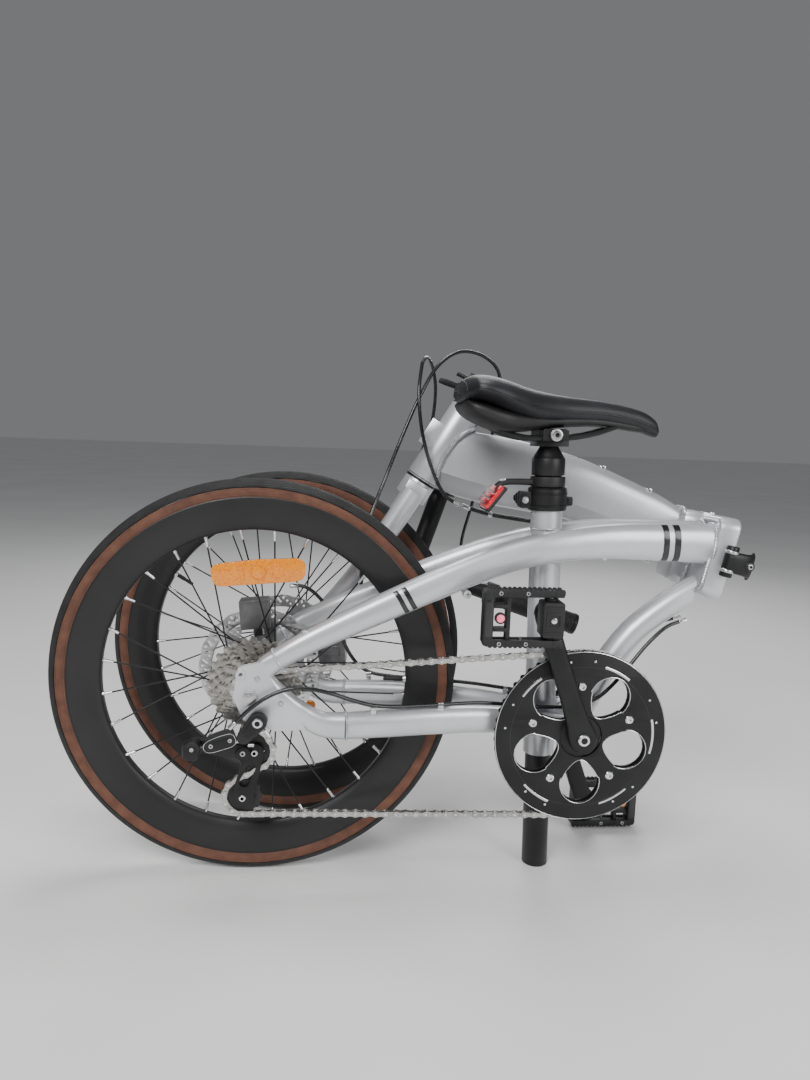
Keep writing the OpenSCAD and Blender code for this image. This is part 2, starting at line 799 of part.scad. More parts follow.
// Half of a hinge: a plate with its outer faces flat and its knuckles on the pin
module casting(knuckles) {
  translate([-casting_t, -casting_w / 2, -hinge_h / 2])
    cube([casting_t - 0.3, casting_w - 2, hinge_h]);
  for (k = knuckles)
    translate([0, hinge_off, k]) {
      cylinder(h = knuckle_h, r = knuckle_r, center = true);
      translate([-casting_t, -hinge_off + casting_w / 2 - 4, -knuckle_h / 2])
        cube([casting_t - 6, hinge_off - casting_w / 2 + 4, knuckle_h]);
    }
}

module hinge_casting_rear() color(silver) at_hinge() difference() {
  casting([-hinge_h / 2 + knuckle_h / 2, hinge_h / 2 - knuckle_h / 2]);
  translate([0, hinge_off, -hinge_h])
    cylinder(h = 2 * hinge_h, r = pin_d / 2);
}

module hinge_casting_front() color(silver) at_front() difference() {
  mirror([1, 0, 0])
    casting([0]);
  translate([0, hinge_off, -hinge_h])
    cylinder(h = 2 * hinge_h, r = pin_d / 2 + run_gap);
}

module hinge_pin() color(steel) at_hinge()
  translate([0, hinge_off, -hinge_h / 2 - 2])
    cylinder(h = hinge_h + 4, r = pin_d / 2);

// Latch on the right side of the rear casting: a jaw, a lever and its pin
latch_at = [-10, -casting_w / 2 - 11];
module main_latch() color(black) at_hinge() translate([latch_at.x, latch_at.y, 0]) {
  cylinder(h = 40, r = 8, center = true);
  translate([0, -7, -14])
    cube([30, 12, 28]);
  translate([22, -7, -20])
    cube([9, 16, 40]);
}

// ---------- seat ----------

module seat_clamp() color(black) {
  difference() {
    on_seat_axis() {
      translate([0, 0, seat_top - clamp_h + 6])
        cylinder(h = clamp_h, r = seat_tube_d / 2 + 5);
      translate([-seat_tube_d / 2 - 17, -10, seat_top - clamp_h + 9])
        cube([17, 20, 22]);
      translate([seat_tube_d / 2 + 2, -7, seat_top - 18])
        cube([10, 14, 12]);
    }
    seat_tube_space(seat_bore_r + 0.3);
    on_seat_axis() {
      translate([0, 0, seat_top - clamp_h])
        cylinder(h = clamp_h, r = seat_tube_d / 2);
      translate([-seat_tube_d / 2 - 20, -1.5, seat_top - clamp_h])
        cube([24, 3, clamp_h + 20]);
    }
  }
}

// Quick-release lever, turning about a pin beside the clamp's ears
module seat_clamp_lever() color(black) on_seat_axis()
  translate([-seat_tube_d / 2 - 11, seat_tube_d / 2 - 3, seat_top - 10]) {
    cylinder(h = 14, r = 6, center = true);
    translate([-6, 0, -5])
      cube([12, 13, 10]);
    translate([0, 9.5, -5])
      cube([58, 4, 10]);
  }

// Seatpost with its head, and a plugged foot
module seatpost() color(black) difference() {
  union() {
    on_seat_axis()
      translate([0, 0, -axle_z - 2])
        cylinder(h = axle_z + post_top + 4, r = post_r);
    on_seat_axis()
      translate([0, 0, post_top - 20])
        cylinder(h = 21, r = post_r + 4);
    on_seat_axis()
      translate([0, 0, post_top])
        cylinder(h = 17, r1 = post_r + 4, r2 = post_r - 6);
    on_seat_axis()
      translate([-20, -18, post_top + 16])
        cube([40, 36, 7]);
  }
  // bore down to the foot's plug
  on_seat_axis()
    translate([0, 0, 16 - axle_z])
      cylinder(h = axle_z + post_top - 24, r = post_r - 3);
  // flat foot on the ground
  translate([-100, -100, -20])
    cube([200, 200, 20]);
}

function rail(s) = [
  [-112, s * 24, rail_z + 46], [-94, s * 22, rail_z + 28], [-66, s * 22, rail_z + 9],
  [-36, s * 22, rail_z + 0.5], [0, s * 22, rail_z], [30, s * 20, rail_z + 2],
  [60, s * 14, rail_z + 8], [96, s * 8, rail_z + 20]
];
module saddle_rails() color(steel) on_seat_axis() {
  for (s = [-1, 1])
    housing(rail(s), rail_d / 2, [0.1, 1, 0]);
  translate([-16, -30, post_top + 23])
    cube([32, 60, 13]);
  translate([0, -34, rail_z + 4])
    rotate([-90, 0, 0])
      cylinder(h = 68, r = 4);
}

// Closed outer form of the padded saddle
module saddle_cover() color("#222326") on_seat_axis() {
  P = smooth([for (p = saddle) [p[0], 0, p[1], p[2] * saddle_w / 2, p[3]]], 2);
  skin([for (i = [0 : len(P) - 1]) saddle_section(P[i])], 24);
}
// Upright section of the saddle at one point, a little flatter below
function saddle_section(p) = [
  for (k = [0 : 23])
    let (c = cos(15 * k), s = sin(15 * k))
    [p.x, p[3] * round_out(c, 2.3), p.z + p[4] * (s > 0 ? 1 : 0.9) * round_out(s, 2.3)]
];

module rear_reflector() {
  color("red") on_seat_axis()
    translate([-86, -24, seat_top - 20])
      rotate([0, 38, 0])
        cube([9, 48, 38]);
  color(black) on_seat_axis() difference() {
    union() {
      translate([0, 0, seat_top + 7])
        cylinder(h = 12, r = post_r + 5);
      translate([-62, -7, seat_top + 8])
        cube([45, 14, 9]);
    }
    translate([0, 0, seat_top])
      cylinder(h = 60, r = post_r);
  }
}

// ---------- front frame ----------

module front_tube() color(silver) difference() {
  at_front() {
    Q = smooth(main_tube, 2);
    N = len(Q) - 1;
    skin(concat(
      [for (i = [0 : N]) tube_section(Q[i], 0)],
      [for (i = [N : -1 : 0]) tube_section(Q[i], tube_wall)]), 20, true);
  }
  head_space(head_d / 2);
}
// Section of the main tube across X, leaning back by its slope
function tube_section(p, wall) = [
  for (k = [0 : 19])
    let (c = round_out(cos(18 * k), 3), s = round_out(sin(18 * k), 3), h = (p[4] - wall) * s)
    [p.x - h * p[5], (p[3] - wall) * c * (s < -0.7 ? 0.72 : 1), p.z + h]
];
module head_space(r) {
  on_steering()
    translate([0, 0, -40])
      cylinder(h = head_len + 80, r = r);
}

// Head tube with its lug for a front bag; four threaded holes face forward
module head_tube() color(silver) on_steering() difference() {
  union() {
    cylinder(h = head_len, r = head_d / 2);
    translate([0, -18, 44])
      cube([head_d / 2 + 10, 36, 38]);
  }
  translate([0, 0, -1])
    cylinder(h = head_len + 2, r = steerer_d / 2 + run_gap);
  for (a = [45 : 90 : 315])
    translate([head_d / 2 - 2, 13 * cos(a), 63 + 13 * sin(a)])
      rotate([0, 90, 0])
        cylinder(h = 30, r = 2.5);
}

// Steerer, crown and the crown's two shoulders
module fork_crown() color(silver) on_steering() difference() {
  union() {
    translate([0, 0, -10])
      cylinder(h = head_len + 38, r = steerer_d / 2);
    translate([0, 0, -crown_h - gap])
      cylinder(h = crown_h, r = head_d / 2);
    translate([-15, -leg_y + 6, -crown_h - gap])
      cube([30, 2 * leg_y - 12, crown_h - 6]);
  }
  translate([0, 0, -crown_h - 10])
    cylinder(h = head_len + 90, r = steerer_d / 2 - 3);
}

fork_path = [
  [0, 0, -18, 13, 15], [1, 0, -80, 12.5, 15], [4, 0, -150, 11, 13], [11, 0, -210, 9, 11],
  [22, 0, -262, 8, 9], [rake - 2, 0, -fork_len + 14, 7, 8]
];
// Two curved legs with their dropouts, and the axle they clamp
module fork_legs() {
  color(silver) on_steering() difference() {
    for (s = [-1, 1]) {
      frame_tube([for (p = fork_path) [p.x, s * (leg_y - 2 * (p[3] > 12 ? 1 : 0)), p.z, p[3], p[4]]], 3, 12, 2, 2.6);
      translate([rake, s * (front_spacing / 2 + 3) + 3, -fork_len])
        rotate([90, 0, 0])
          cylinder(h = 6, r = 14);
    }
    translate([-15, -leg_y + 6, -crown_h - gap])
      cube([30, 2 * leg_y - 12, crown_h - 6]);
    translate([rake, 80, -fork_len])
      rotate([90, 0, 0])
        cylinder(h = 160, r = axle_d / 2);
  }
  color(steel) on_steering() translate([rake, 0, -fork_len])
    disc(0, 0, -front_spacing / 2 - 16, front_spacing / 2 + 16, axle_d / 2);
}

// Disc brake caliper: a body either side of the rotor, and a bracket out to side
module caliper(y, side) {
  r = rotor_d / 2;
  difference() {
    translate([r - 26, y - 13, -19])
      cube([38, 29, 38]);
    translate([r - 60, y - 3, -30])
      cube([64, rotor_t + 6, 60]);
  }
  translate([r - 42, y + 13, -6])
    cube([46, side - y - 13, 12]);
}
module rear_caliper() color("dimgray") at_rear()
  rotate([0, -95, 0])
    caliper(rotor_y, rear_spacing / 2);
module front_caliper() color("dimgray") front_wheel_place()
  rotate([0, -146, 0])
    caliper(front_rotor_y, front_spacing / 2 + 3);

// ---------- handlepost and bar ----------

// Clamped base on the steerer, with the fixed half of the post's hinge
module post_base() color(black) on_steering() difference() {
  union() {
    translate([0, 0, head_len + gap])
      cylinder(h = 34, r = 22);
    translate([-23, post_fold_y - 3, post_hinge_z - 14])
      cube([46, -post_fold_y + 25, 14 - gap / 2]);
    pin_knuckle([-1, 1]);
  }
  translate([0, 0, head_len - 1])
    cylinder(h = 30, r = steerer_d / 2);
  middle_knuckle(10, 13 + 2 * gap);
  pin_hole(3.5 + run_gap);
}
module middle_knuckle(r, w) {
  translate([0, post_fold_y, post_hinge_z])
    rotate([0, 90 + post_toe, 0])
      cylinder(h = w, r = r, center = true);
}
// Knuckles along the tilted fold pin, at the places k
module pin_knuckle(places) {
  translate([0, post_fold_y, post_hinge_z])
    rotate([0, post_toe, 0])
      for (k = places)
        translate([k * 16, 0, 0])
          rotate([0, 90, 0])
            cylinder(h = 13, r = 8, center = true);
}
module pin_hole(r) {
  translate([0, post_fold_y, post_hinge_z])
    rotate([0, post_toe, 0])
      translate([-40, 0, 0])
        rotate([0, 90, 0])
          cylinder(h = 80, r = r);
}

// Outer post: hinge foot, tube and the clamp that holds the stem
module handlepost() color(black) {
  difference() {
    on_post()
      translate([0, 0, post_hinge_z + gap / 2]) {
        translate([-22, -30, 0])
          cube([44, 52, 12]);
        translate([-6, -42, 0])
          cube([12, 16, 8]);
        translate([-35, 20, 0])
          cube([14, 3.5, 12]);
        cylinder(h = 170, r = handlepost_d / 2);
        translate([0, 0, 146])
          cylinder(h = 24, r = handlepost_d / 2 + 6);
      }
    on_post()
      translate([0, 0, post_hinge_z + 14])
        cylinder(h = 200, r = stem_d / 2 + run_gap);
  }
  on_steering() {
    middle_knuckle(8, 13);
    pin_hole(3.5);
  }
}

// Latch lever across the post's foot, turning on a pin at its side
module post_latch() color(black) on_post() translate([0, 32, post_hinge_z + 6]) {
  translate([-28, 0, 0])
    cylinder(h = 12, r = 8, center = true);
  translate([-30, -4, -5])
    cube([92, 7, 10]);
}

// Stem and bar with a rubber grip at each end
module handlebar() color(black) difference() {
  union() {
    on_post()
      translate([0, 0, post_hinge_z + 40])
        cylinder(h = post_len - 40, r = stem_d / 2);
    on_bar() {
      disc(0, 0, -bar_len / 2, bar_len / 2, bar_d / 2);
      disc(0, 0, -22, 22, bar_d / 2 + 5);
      for (s = [-1, 1])
        disc(0, 0, s > 0 ? bar_len / 2 - 122 : -bar_len / 2 - 2,
          s > 0 ? bar_len / 2 + 2 : 122 - bar_len / 2, 16);
    }
  }
  on_bar()
    disc(0, 0, -bar_len, bar_len, bar_d / 2 - 2);
  on_post()
    translate([0, 0, post_hinge_z + 30])
      cylinder(h = post_len - 30, r = stem_d / 2 - 2.5);
}

perch_y = bar_len / 2 - 140;
lever_pin = [32, perch_y + 6];
// Brake lever perches, and the body of the shifter on the right
module bar_controls() color(black) on_bar() difference() {
  for (s = [-1, 1]) {
    disc(0, 0, s * perch_y - 9, s * perch_y + 9, bar_d / 2 + 5);
    translate([8, s * perch_y - 7, -11])
      cube([18, 14, 22]);
    for (z = [-10, 6])
      translate([20, s * (perch_y + 2) - 9, z])
        cube([21, 18, 4]);
    if (s < 0) {
      disc(0, 0, -perch_y + 14, -perch_y + 34, bar_d / 2 + 5);
      translate([6, -perch_y + 12, -16])
        cube([26, 24, 12]);
    }
  }
  disc(0, 0, -bar_len, bar_len, bar_d / 2);
  for (s = [-1, 1])
    translate([lever_pin.x, s * lever_pin.y, -20])
      cylinder(h = 40, r = 3 + run_gap);
}

// Brake lever with its pin, on the side s
module brake_lever(s) {
  translate([lever_pin.x, s * lever_pin.y, -10])
    cylinder(h = 20, r = 3);
  translate([0, 0, -5.5])
    linear_extrude(11) {
      bar_2d([lever_pin.x, s * lever_pin.y], [46, s * (perch_y + 40)], 6, 6);
      bar_2d([46, s * (perch_y + 40)], [42, s * (perch_y + 118)], 6, 7);
    }
}
module brake_lever_right() color(black) on_bar() brake_lever(-1);
module brake_lever_left() color(black) on_bar() brake_lever(1);

// ---------- cables ----------

// Shift and rear brake housings along the stays, with their clips
module rear_cables() color(black) at_rear() {
  housing(shift_route);
  housing(brake_route);
}
module front_cables() color(black) at_front() {
  housing(tube_route_a);
  housing([for (p = tube_route_a) [p.x, -0.6 * p.y, p.z]]);
}
module bar_cables() color(black) at_front() {
  housing(bar_route_a, 2.5, [1, 0.3, 0.2]);
  housing(bar_route_b, 2.5, [1, 0.3, 0.2]);
}

seat_tube();
arch_tube_right();
arch_tube_left();
down_tube();
chainstay_right();
chainstay_left();
hinge_casting_rear();
hinge_pin();
seat_clamp();
bb_cartridge();
rear_axle();
rear_caliper();
derailleur_body();
chain();
rear_cables();
seatpost();
saddle_rails();
saddle_cover();
rear_reflector();
seat_clamp_lever();
rear_tyre();
rear_rim();
rear_spokes();
rear_hub();
rear_rotor();
cassette();
crank_spindle();
crank_right();
chainring();
crank_left();
pedal_hub_right();
pedal_platform_right();
pedal_hub_left();
pedal_platform_left();
derailleur_link();
derailleur_knuckle();
derailleur_cage();
jockey_upper();
jockey_lower();
front_tube();
head_tube();
hinge_casting_front();
front_cables();
main_latch();
fork_crown();
fork_legs();
front_caliper();
front_tyre();
front_rim();
front_spokes();
front_hub();
front_rotor();
post_base();
handlepost();
handlebar();
bar_controls();
post_latch();
brake_lever_right();
brake_lever_left();
bar_cables();
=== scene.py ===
"""Folding bicycle, folded beside itself: the looks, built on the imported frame."""
import math
import bpy
import bmesh
import numpy as np
from mathutils import Matrix, Vector
from math import sin, cos, tan, pi, radians, hypot, atan2, asin, acos


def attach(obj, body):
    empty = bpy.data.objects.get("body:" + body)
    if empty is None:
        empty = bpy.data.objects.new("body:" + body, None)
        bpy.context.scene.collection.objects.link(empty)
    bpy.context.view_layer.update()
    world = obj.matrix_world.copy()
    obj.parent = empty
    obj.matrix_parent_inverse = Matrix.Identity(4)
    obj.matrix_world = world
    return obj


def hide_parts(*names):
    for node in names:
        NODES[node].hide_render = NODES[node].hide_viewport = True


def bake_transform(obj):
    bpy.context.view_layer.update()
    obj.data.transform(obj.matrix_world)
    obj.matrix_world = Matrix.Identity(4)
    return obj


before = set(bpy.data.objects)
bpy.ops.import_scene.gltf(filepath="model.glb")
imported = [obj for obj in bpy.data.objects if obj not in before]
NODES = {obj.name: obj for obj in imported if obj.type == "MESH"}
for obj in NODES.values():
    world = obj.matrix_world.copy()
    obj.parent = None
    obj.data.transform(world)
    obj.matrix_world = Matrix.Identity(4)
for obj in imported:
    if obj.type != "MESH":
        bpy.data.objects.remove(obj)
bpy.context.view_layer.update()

# ---------- places, in millimetres, as in part.scad ----------

AXLE_Z = 253.5
BB = (408.0, -55.5)
FOOT_X = 370 + (AXLE_Z - 55.5) * tan(radians(1.3))


def shift(x, y, z):
    return Matrix.Translation((x, y, z))


def turn(angle, axis):
    return Matrix.Rotation(radians(angle), 4, axis)


POST_Y, POST_Z, POST_LEN, TOE = -44, 163, 292, 6.4
REAR = shift(-FOOT_X, 0, AXLE_Z)
SEAT = REAR @ shift(370, 0, -55.5) @ turn(-1.3, "Y") @ shift(0, 0, 55.5)
HINGE = REAR @ shift(598, 0, 166.5) @ turn(12.3, "Y")
FRONT = HINGE @ shift(0, 52, 0) @ turn(173.7, "Z") @ shift(0, -52, 0)
STEER = FRONT @ shift(397, 0, 0) @ turn(-18.7, "Y")
POST = (STEER @ shift(0, POST_Y, POST_Z) @ turn(TOE, "Y") @ turn(180, "X")
        @ turn(-TOE, "Y") @ shift(0, -POST_Y, -POST_Z))
BAR = POST @ shift(0, 0, POST_Z + POST_LEN) @ turn(90, "Z")
FWHEEL = STEER @ shift(36, 0, -311)

# ---------- camera, light and world ----------

ahead = Vector((.0943, .9867, -.1322)).normalized()
up = Vector((-.0221, .1348, .9906))
right = ahead.cross(up).normalized()
up = right.cross(ahead)
camera = bpy.data.objects.new("camera", bpy.data.cameras.new("camera"))
camera.data.lens = 25.94
camera.data.sensor_width = 36
camera.data.clip_start = 0.02
camera.matrix_world = Matrix((right, up, -ahead)).transposed().to_4x4()
camera.matrix_world.translation = (-0.28348, -0.968075, 0.56382)
bpy.context.scene.collection.objects.link(camera)
bpy.context.scene.camera = camera


def area_light(name, at, aim, size, power):
    light = bpy.data.lights.new(name, "AREA")
    light.shape, light.size, light.energy = "DISK", size, power
    ob = bpy.data.objects.new(name, light)
    ob.matrix_world = (Vector(aim) - Vector(at)).to_track_quat("-Z", "Y").to_matrix().to_4x4()
    ob.matrix_world.translation = at
    bpy.context.scene.collection.objects.link(ob)


area_light("key", (-1.3, -2.0, 2.3), (-0.2, 0, 0.35), 1.5, 78)
area_light("fill", (1.5, -1.9, 1.2), (-0.1, 0, 0.4), 1.4, 30)
area_light("top", (-0.2, 0.5, 2.6), (-0.2, 0, 0.3), 1.0, 26)
area_light("back", (0.4, 2.2, 1.6), (-0.2, 0, 0.4), 1.2, 16)
world = bpy.data.worlds.new("studio")
world.use_nodes = True
world.node_tree.nodes["Background"].inputs[0].default_value = (0.9, 0.92, 0.95, 1)
world.node_tree.nodes["Background"].inputs[1].default_value = 0.2
bpy.context.scene.world = world

# ---------- materials ----------


class Shader:
    """A Principled material whose colour, roughness and bump come from nodes."""

    def __init__(self, name, metallic=0.0, coat=0.0, ior=1.5, sheen=0.0):
        self.m = bpy.data.materials.new(name)
        self.m.use_nodes = True
        self.t = self.m.node_tree
        self.b = self.t.nodes["Principled BSDF"]
        self.b.inputs["Metallic"].default_value = metallic
        self.b.inputs["Coat Weight"].default_value = coat
        self.b.inputs["IOR"].default_value = ior
        self.b.inputs["Sheen Weight"].default_value = sheen
        self.where = self.t.nodes.new("ShaderNodeTexCoord")
        self.last = None

    def node(self, kind, **values):
        n = self.t.nodes.new("ShaderNode" + kind)
        for key, value in values.items():
            if key in n.inputs:
                n.inputs[key].default_value = value
            else:
                setattr(n, key, value)
        return n

    def noise(self, scale, detail=3.0, space="Object", stretch=None):
        n = self.node("TexNoise", Scale=scale, Detail=detail)
        src = self.where.outputs[space]
        if stretch:
            mapping = self.node("Mapping")
            mapping.inputs["Scale"].default_value = stretch
            self.t.links.new(src, mapping.inputs["Vector"])
            src = mapping.outputs[0]
        self.t.links.new(src, n.inputs["Vector"])
        return n.outputs["Fac"]

    def cells(self, scale, feature="F1", space="Object"):
        n = self.node("TexVoronoi", Scale=scale, feature=feature)
        self.t.links.new(self.where.outputs[space], n.inputs["Vector"])
        return n.outputs["Distance"]

    def wave(self, scale, axis="X", space="UV", distortion=0.0, profile="SIN"):
        n = self.node("TexWave", Scale=scale, Distortion=distortion, bands_direction=axis,
                      wave_profile=profile)
        self.t.links.new(self.where.outputs[space], n.inputs["Vector"])
        return n.outputs["Fac"]

    def colour(self, source, low, high, start=0.3, end=0.7):
        ramp = self.node("ValToRGB")
        ramp.color_ramp.elements[0].position, ramp.color_ramp.elements[1].position = start, end
        ramp.color_ramp.elements[0].color = (*low, 1)
        ramp.color_ramp.elements[1].color = (*high, 1)
        self.t.links.new(source, ramp.inputs[0])
        self.t.links.new(ramp.outputs[0], self.b.inputs["Base Color"])
        return self

    def rough(self, source, low, high):
        r = self.node("MapRange")
        r.inputs["To Min"].default_value, r.inputs["To Max"].default_value = low, high
        self.t.links.new(source, r.inputs["Value"])
        self.t.links.new(r.outputs[0], self.b.inputs["Roughness"])
        return self

    def bump(self, source, depth, strength=0.5):
        n = self.node("Bump", Strength=strength, Distance=depth)
        self.t.links.new(source, n.inputs["Height"])
        if self.last:
            self.t.links.new(self.last.outputs[0], n.inputs["Normal"])
        self.last = n
        self.t.links.new(n.outputs[0], self.b.inputs["Normal"])
        return self


def material(name, low, high, rough=(0.35, 0.5), metallic=0.0, scale=25.0, grain=900.0,
             depth=0.00005, strength=0.3, coat=0.0, **more):
    s = Shader(name, metallic, coat, **more)
    s.colour(s.noise(scale), low, high)
    s.rough(s.noise(scale * 2.3, 5.0), *rough)
    s.bump(s.noise(grain, 2.0), depth, strength)
    return s


SILVER = material("silver_paint", (.58, .59, .61), (.68, .69, .71), (.32, .44), .62, 14, 2600,
                  .00004, .35, coat=.3)
WELD = material("weld", (.46, .47, .49), (.62, .63, .65), (.3, .46), .7, 90, 700, .0002, .5, coat=.2)
BLACK = material("black_paint", (.008, .008, .009), (.018, .018, .020), (.32, .5), .2, 22, 1500,
                 .00004, .3)
ALLOY_BLACK = material("black_anodised", (.006, .006, .007), (.014, .014, .015), (.34, .48), .3, 30,
                       2200, .00003, .3)
PLASTIC = material("black_plastic", (.006, .006, .0065), (.012, .012, .013), (.42, .6), 0, 40, 1300,
                   .00012, .45)
SPOKE = material("spoke_black", (.006, .006, .006), (.014, .014, .014), (.3, .4), .3, 60, 2000)
BRIGHT = material("bright_alloy", (.66, .66, .67), (.82, .82, .83), (.16, .3), 1.0, 60, 1800,
                  .00003, .3)
STEEL = material("brushed_steel", (.50, .50, .51), (.66, .66, .66), (.24, .42), 1.0, 50, 900,
                 .00005, .4)
CHAIN = material("chain_plate", (.36, .355, .34), (.56, .55, .53), (.2, .36), 1.0, 160, 1200,
                 .00006, .4)
COGS = material("cassette_steel", (.27, .255, .235), (.46, .44, .41), (.24, .4), 1.0, 120, 1000,
                .00006, .4)
HOUSING = material("cable_housing", (.008, .008, .009), (.015, .015, .016), (.2, .34), 0, 30, 2500,
                   .00003, .3, coat=.3)
PEWTER = material("grey_casting", (.16, .16, .165), (.26, .26, .265), (.34, .5), .9, 60, 1400,
                  .0001, .5)
DECAL = material("black_band", (.006, .006, .007), (.012, .012, .013), (.25, .35), 0, 20, 2000,
                 .00002, .2, coat=.5)
# Pedal lens with painted glow: the emission stands in for light caught by the lens, which is no lamp.
LENS_PAINTED_GLOW = material("pedal_lens_painted_glow", (.75, .05, .16), (1.0, .35, .45), (.15, .25), 0, 300, 1500, .0001,
                .4, coat=.4)
LENS_PAINTED_GLOW.b.inputs["Emission Color"].default_value = (1, .12, .25, 1)
LENS_PAINTED_GLOW.b.inputs["Emission Strength"].default_value = 0.6


def lens(name, low, high):
    s = Shader(name, 0, .6, 1.49)
    s.colour(s.cells(260), low, high, .0, .5)
    s.rough(s.noise(120), .08, .18)
    s.bump(s.cells(380), .0006, .6)
    return s


AMBER = lens("amber_lens", (.70, .13, .0005), (.88, .27, .001))
RED = lens("red_lens", (.42, .004, .01), (.72, .02, .03))

TREAD = Shader("tyre_tread")
TREAD.colour(TREAD.noise(40), (.006, .006, .0065), (.016, .016, .0165))
TREAD.rough(TREAD.noise(90), .6, .8)
TREAD.bump(TREAD.wave(26, "DIAGONAL"), .0007, .8).bump(TREAD.noise(1500), .00015, .4)
WALL = Shader("tyre_sidewall")
WALL.colour(WALL.noise(60, 5), (.085, .030, .016), (.15, .060, .034))
WALL.rough(WALL.noise(70), .55, .75)
WALL.bump(WALL.wave(70, "X", distortion=1.5), .00012, .5).bump(WALL.noise(900), .0001, .4)
RIM = Shader("rim_black", 0, .08)
RIM.colour(RIM.noise(9, 4), (.004, .004, .0045), (.010, .010, .0105))
RIM.rough(RIM.noise(40, 5), .42, .58)
RIM.bump(RIM.noise(1800), .00004, .35)
LEATHER = Shader("saddle_leather")
LEATHER.colour(LEATHER.noise(30, 5), (.006, .0065, .008), (.014, .0145, .017))
LEATHER.rough(LEATHER.noise(60), .40, .55)
LEATHER.bump(LEATHER.cells(620), .00035, .5).bump(LEATHER.noise(220, 5), .0004, .35)

# ---------- mesh helpers: a part is (points in mm, faces, uv) ----------


def lathe(profile, n=96, closed=True):
    """Turned about Y from points (radius, y)."""
    k = len(profile)
    run = [0.0]
    for a, b in zip(profile, profile[1:]):
        run.append(run[-1] + hypot(b[0] - a[0], b[1] - a[1]))
    pts, uv = [], []
    for i in range(n):
        a = 2 * pi * i / n
        for j, (r, y) in enumerate(profile):
            pts.append((r * cos(a), y, r * sin(a)))
            uv.append((i / n, run[j] / 100))
    faces = []
    for i in range(n):
        m = (i + 1) % n
        for j in range(k if closed else k - 1):
            h = (j + 1) % k
            faces.append((i * k + j, i * k + h, m * k + h, m * k + j))
    return np.array(pts), faces, uv


def hoop(r, y, a, b, n):
    """Thin ring about Y, with an oval section of half sizes a and b."""
    turns = [2 * pi * i / 8 for i in range(8)]
    return lathe([(r + a * cos(t), y + b * sin(t)) for t in turns], n)


def drum(r, y0, y1, edge=0.6, bore=0.0, n=48):
    p = [(bore, y0), (r - edge, y0), (r - edge * .3, y0 + edge * .3), (r, y0 + edge),
         (r, y1 - edge), (r - edge * .3, y1 - edge * .3), (r - edge, y1), (bore, y1)]
    return lathe(p, n, bore > 0)


def at(part, x=0.0, y=0.0, z=0.0):
    return part[0] + np.array([x, y, z]), part[1], part[2]


def placed(part, m):
    a = np.array(m)
    return part[0] @ a[:3, :3].T + a[:3, 3], part[1], part[2]


def along(direction):
    """Turns Y onto a direction."""
    return Vector((0, 1, 0)).rotation_difference(Vector(direction)).to_matrix().to_4x4()


def bolt(r, y0, y1, head=None):
    """Hex socket bolt whose head faces -Y at y0."""
    s = r * .52
    p = [(0, y0 + r * .5), (s, y0 + r * .5), (s, y0), (r * .82, y0), (r, y0 + r * .2), (r, y1), (0, y1)]
    return lathe(p, 24, False)


def smooth(points, m):
    """Catmull-Rom through rows of numbers, m steps between two."""
    p = [np.array(v, float) for v in points]
    out = []
    for i in range(len(p) - 1):
        a, b, c, d = p[max(i - 1, 0)], p[i], p[i + 1], p[min(i + 2, len(p) - 1)]
        for j in range(m):
            u = j / m
            out.append(.5 * (2 * b + (c - a) * u + (2 * a - 5 * b + 4 * c - d) * u * u
                             + (3 * b - a - 3 * c + d) * u ** 3))
    out.append(p[-1])
    return np.array(out)


def frames(path, side):
    """Side and up directions across a path."""
    t = np.gradient(path, axis=0)
    t /= np.linalg.norm(t, axis=1)[:, None]
    s = np.array(side, float) - (t @ np.array(side, float))[:, None] * t
    s /= np.linalg.norm(s, axis=1)[:, None]
    return t, s, np.cross(t, s)


def tube(path, w, h=None, n=24, side=(0, 1, 0), e=2.0, closed=False):
    """Skin along a path with half widths w and half heights h."""
    path = np.array(path, float)[:, :3]
    k = len(path)
    w = np.broadcast_to(np.array(w, float), (k,))
    h = w if h is None else np.broadcast_to(np.array(h, float), (k,))
    if closed:
        t = np.roll(path, -1, 0) - np.roll(path, 1, 0)
        t /= np.linalg.norm(t, axis=1)[:, None]
        s = np.array(side, float) - (t @ np.array(side, float))[:, None] * t
        s /= np.linalg.norm(s, axis=1)[:, None]
        u = np.cross(t, s)
    else:
        t, s, u = frames(path, side)
    a = np.arange(n) * 2 * pi / n
    ca, sa = np.cos(a), np.sin(a)
    ca, sa = np.sign(ca) * abs(ca) ** (2 / e), np.sign(sa) * abs(sa) ** (2 / e)
    pts = (path[:, None] + s[:, None] * (w[:, None] * ca)[:, :, None]
           + u[:, None] * (h[:, None] * sa)[:, :, None]).reshape(-1, 3)
    run = np.concatenate([[0], np.cumsum(np.linalg.norm(np.diff(path, axis=0), axis=1))]) / 100
    uv = [(run[i], j / n) for i in range(k) for j in range(n)]
    faces = []
    for i in range(k if closed else k - 1):
        m = (i + 1) % k
        for j in range(n):
            q = (j + 1) % n
            faces.append((i * n + j, m * n + j, m * n + q, i * n + q))
    if not closed:
        faces += [tuple(range(n)), tuple((k - 1) * n + j for j in reversed(range(n)))]
    return pts, faces, uv


def rod(a, b, r, n=12):
    return tube([a, b], r, n=n, side=(.13, .71, .39))


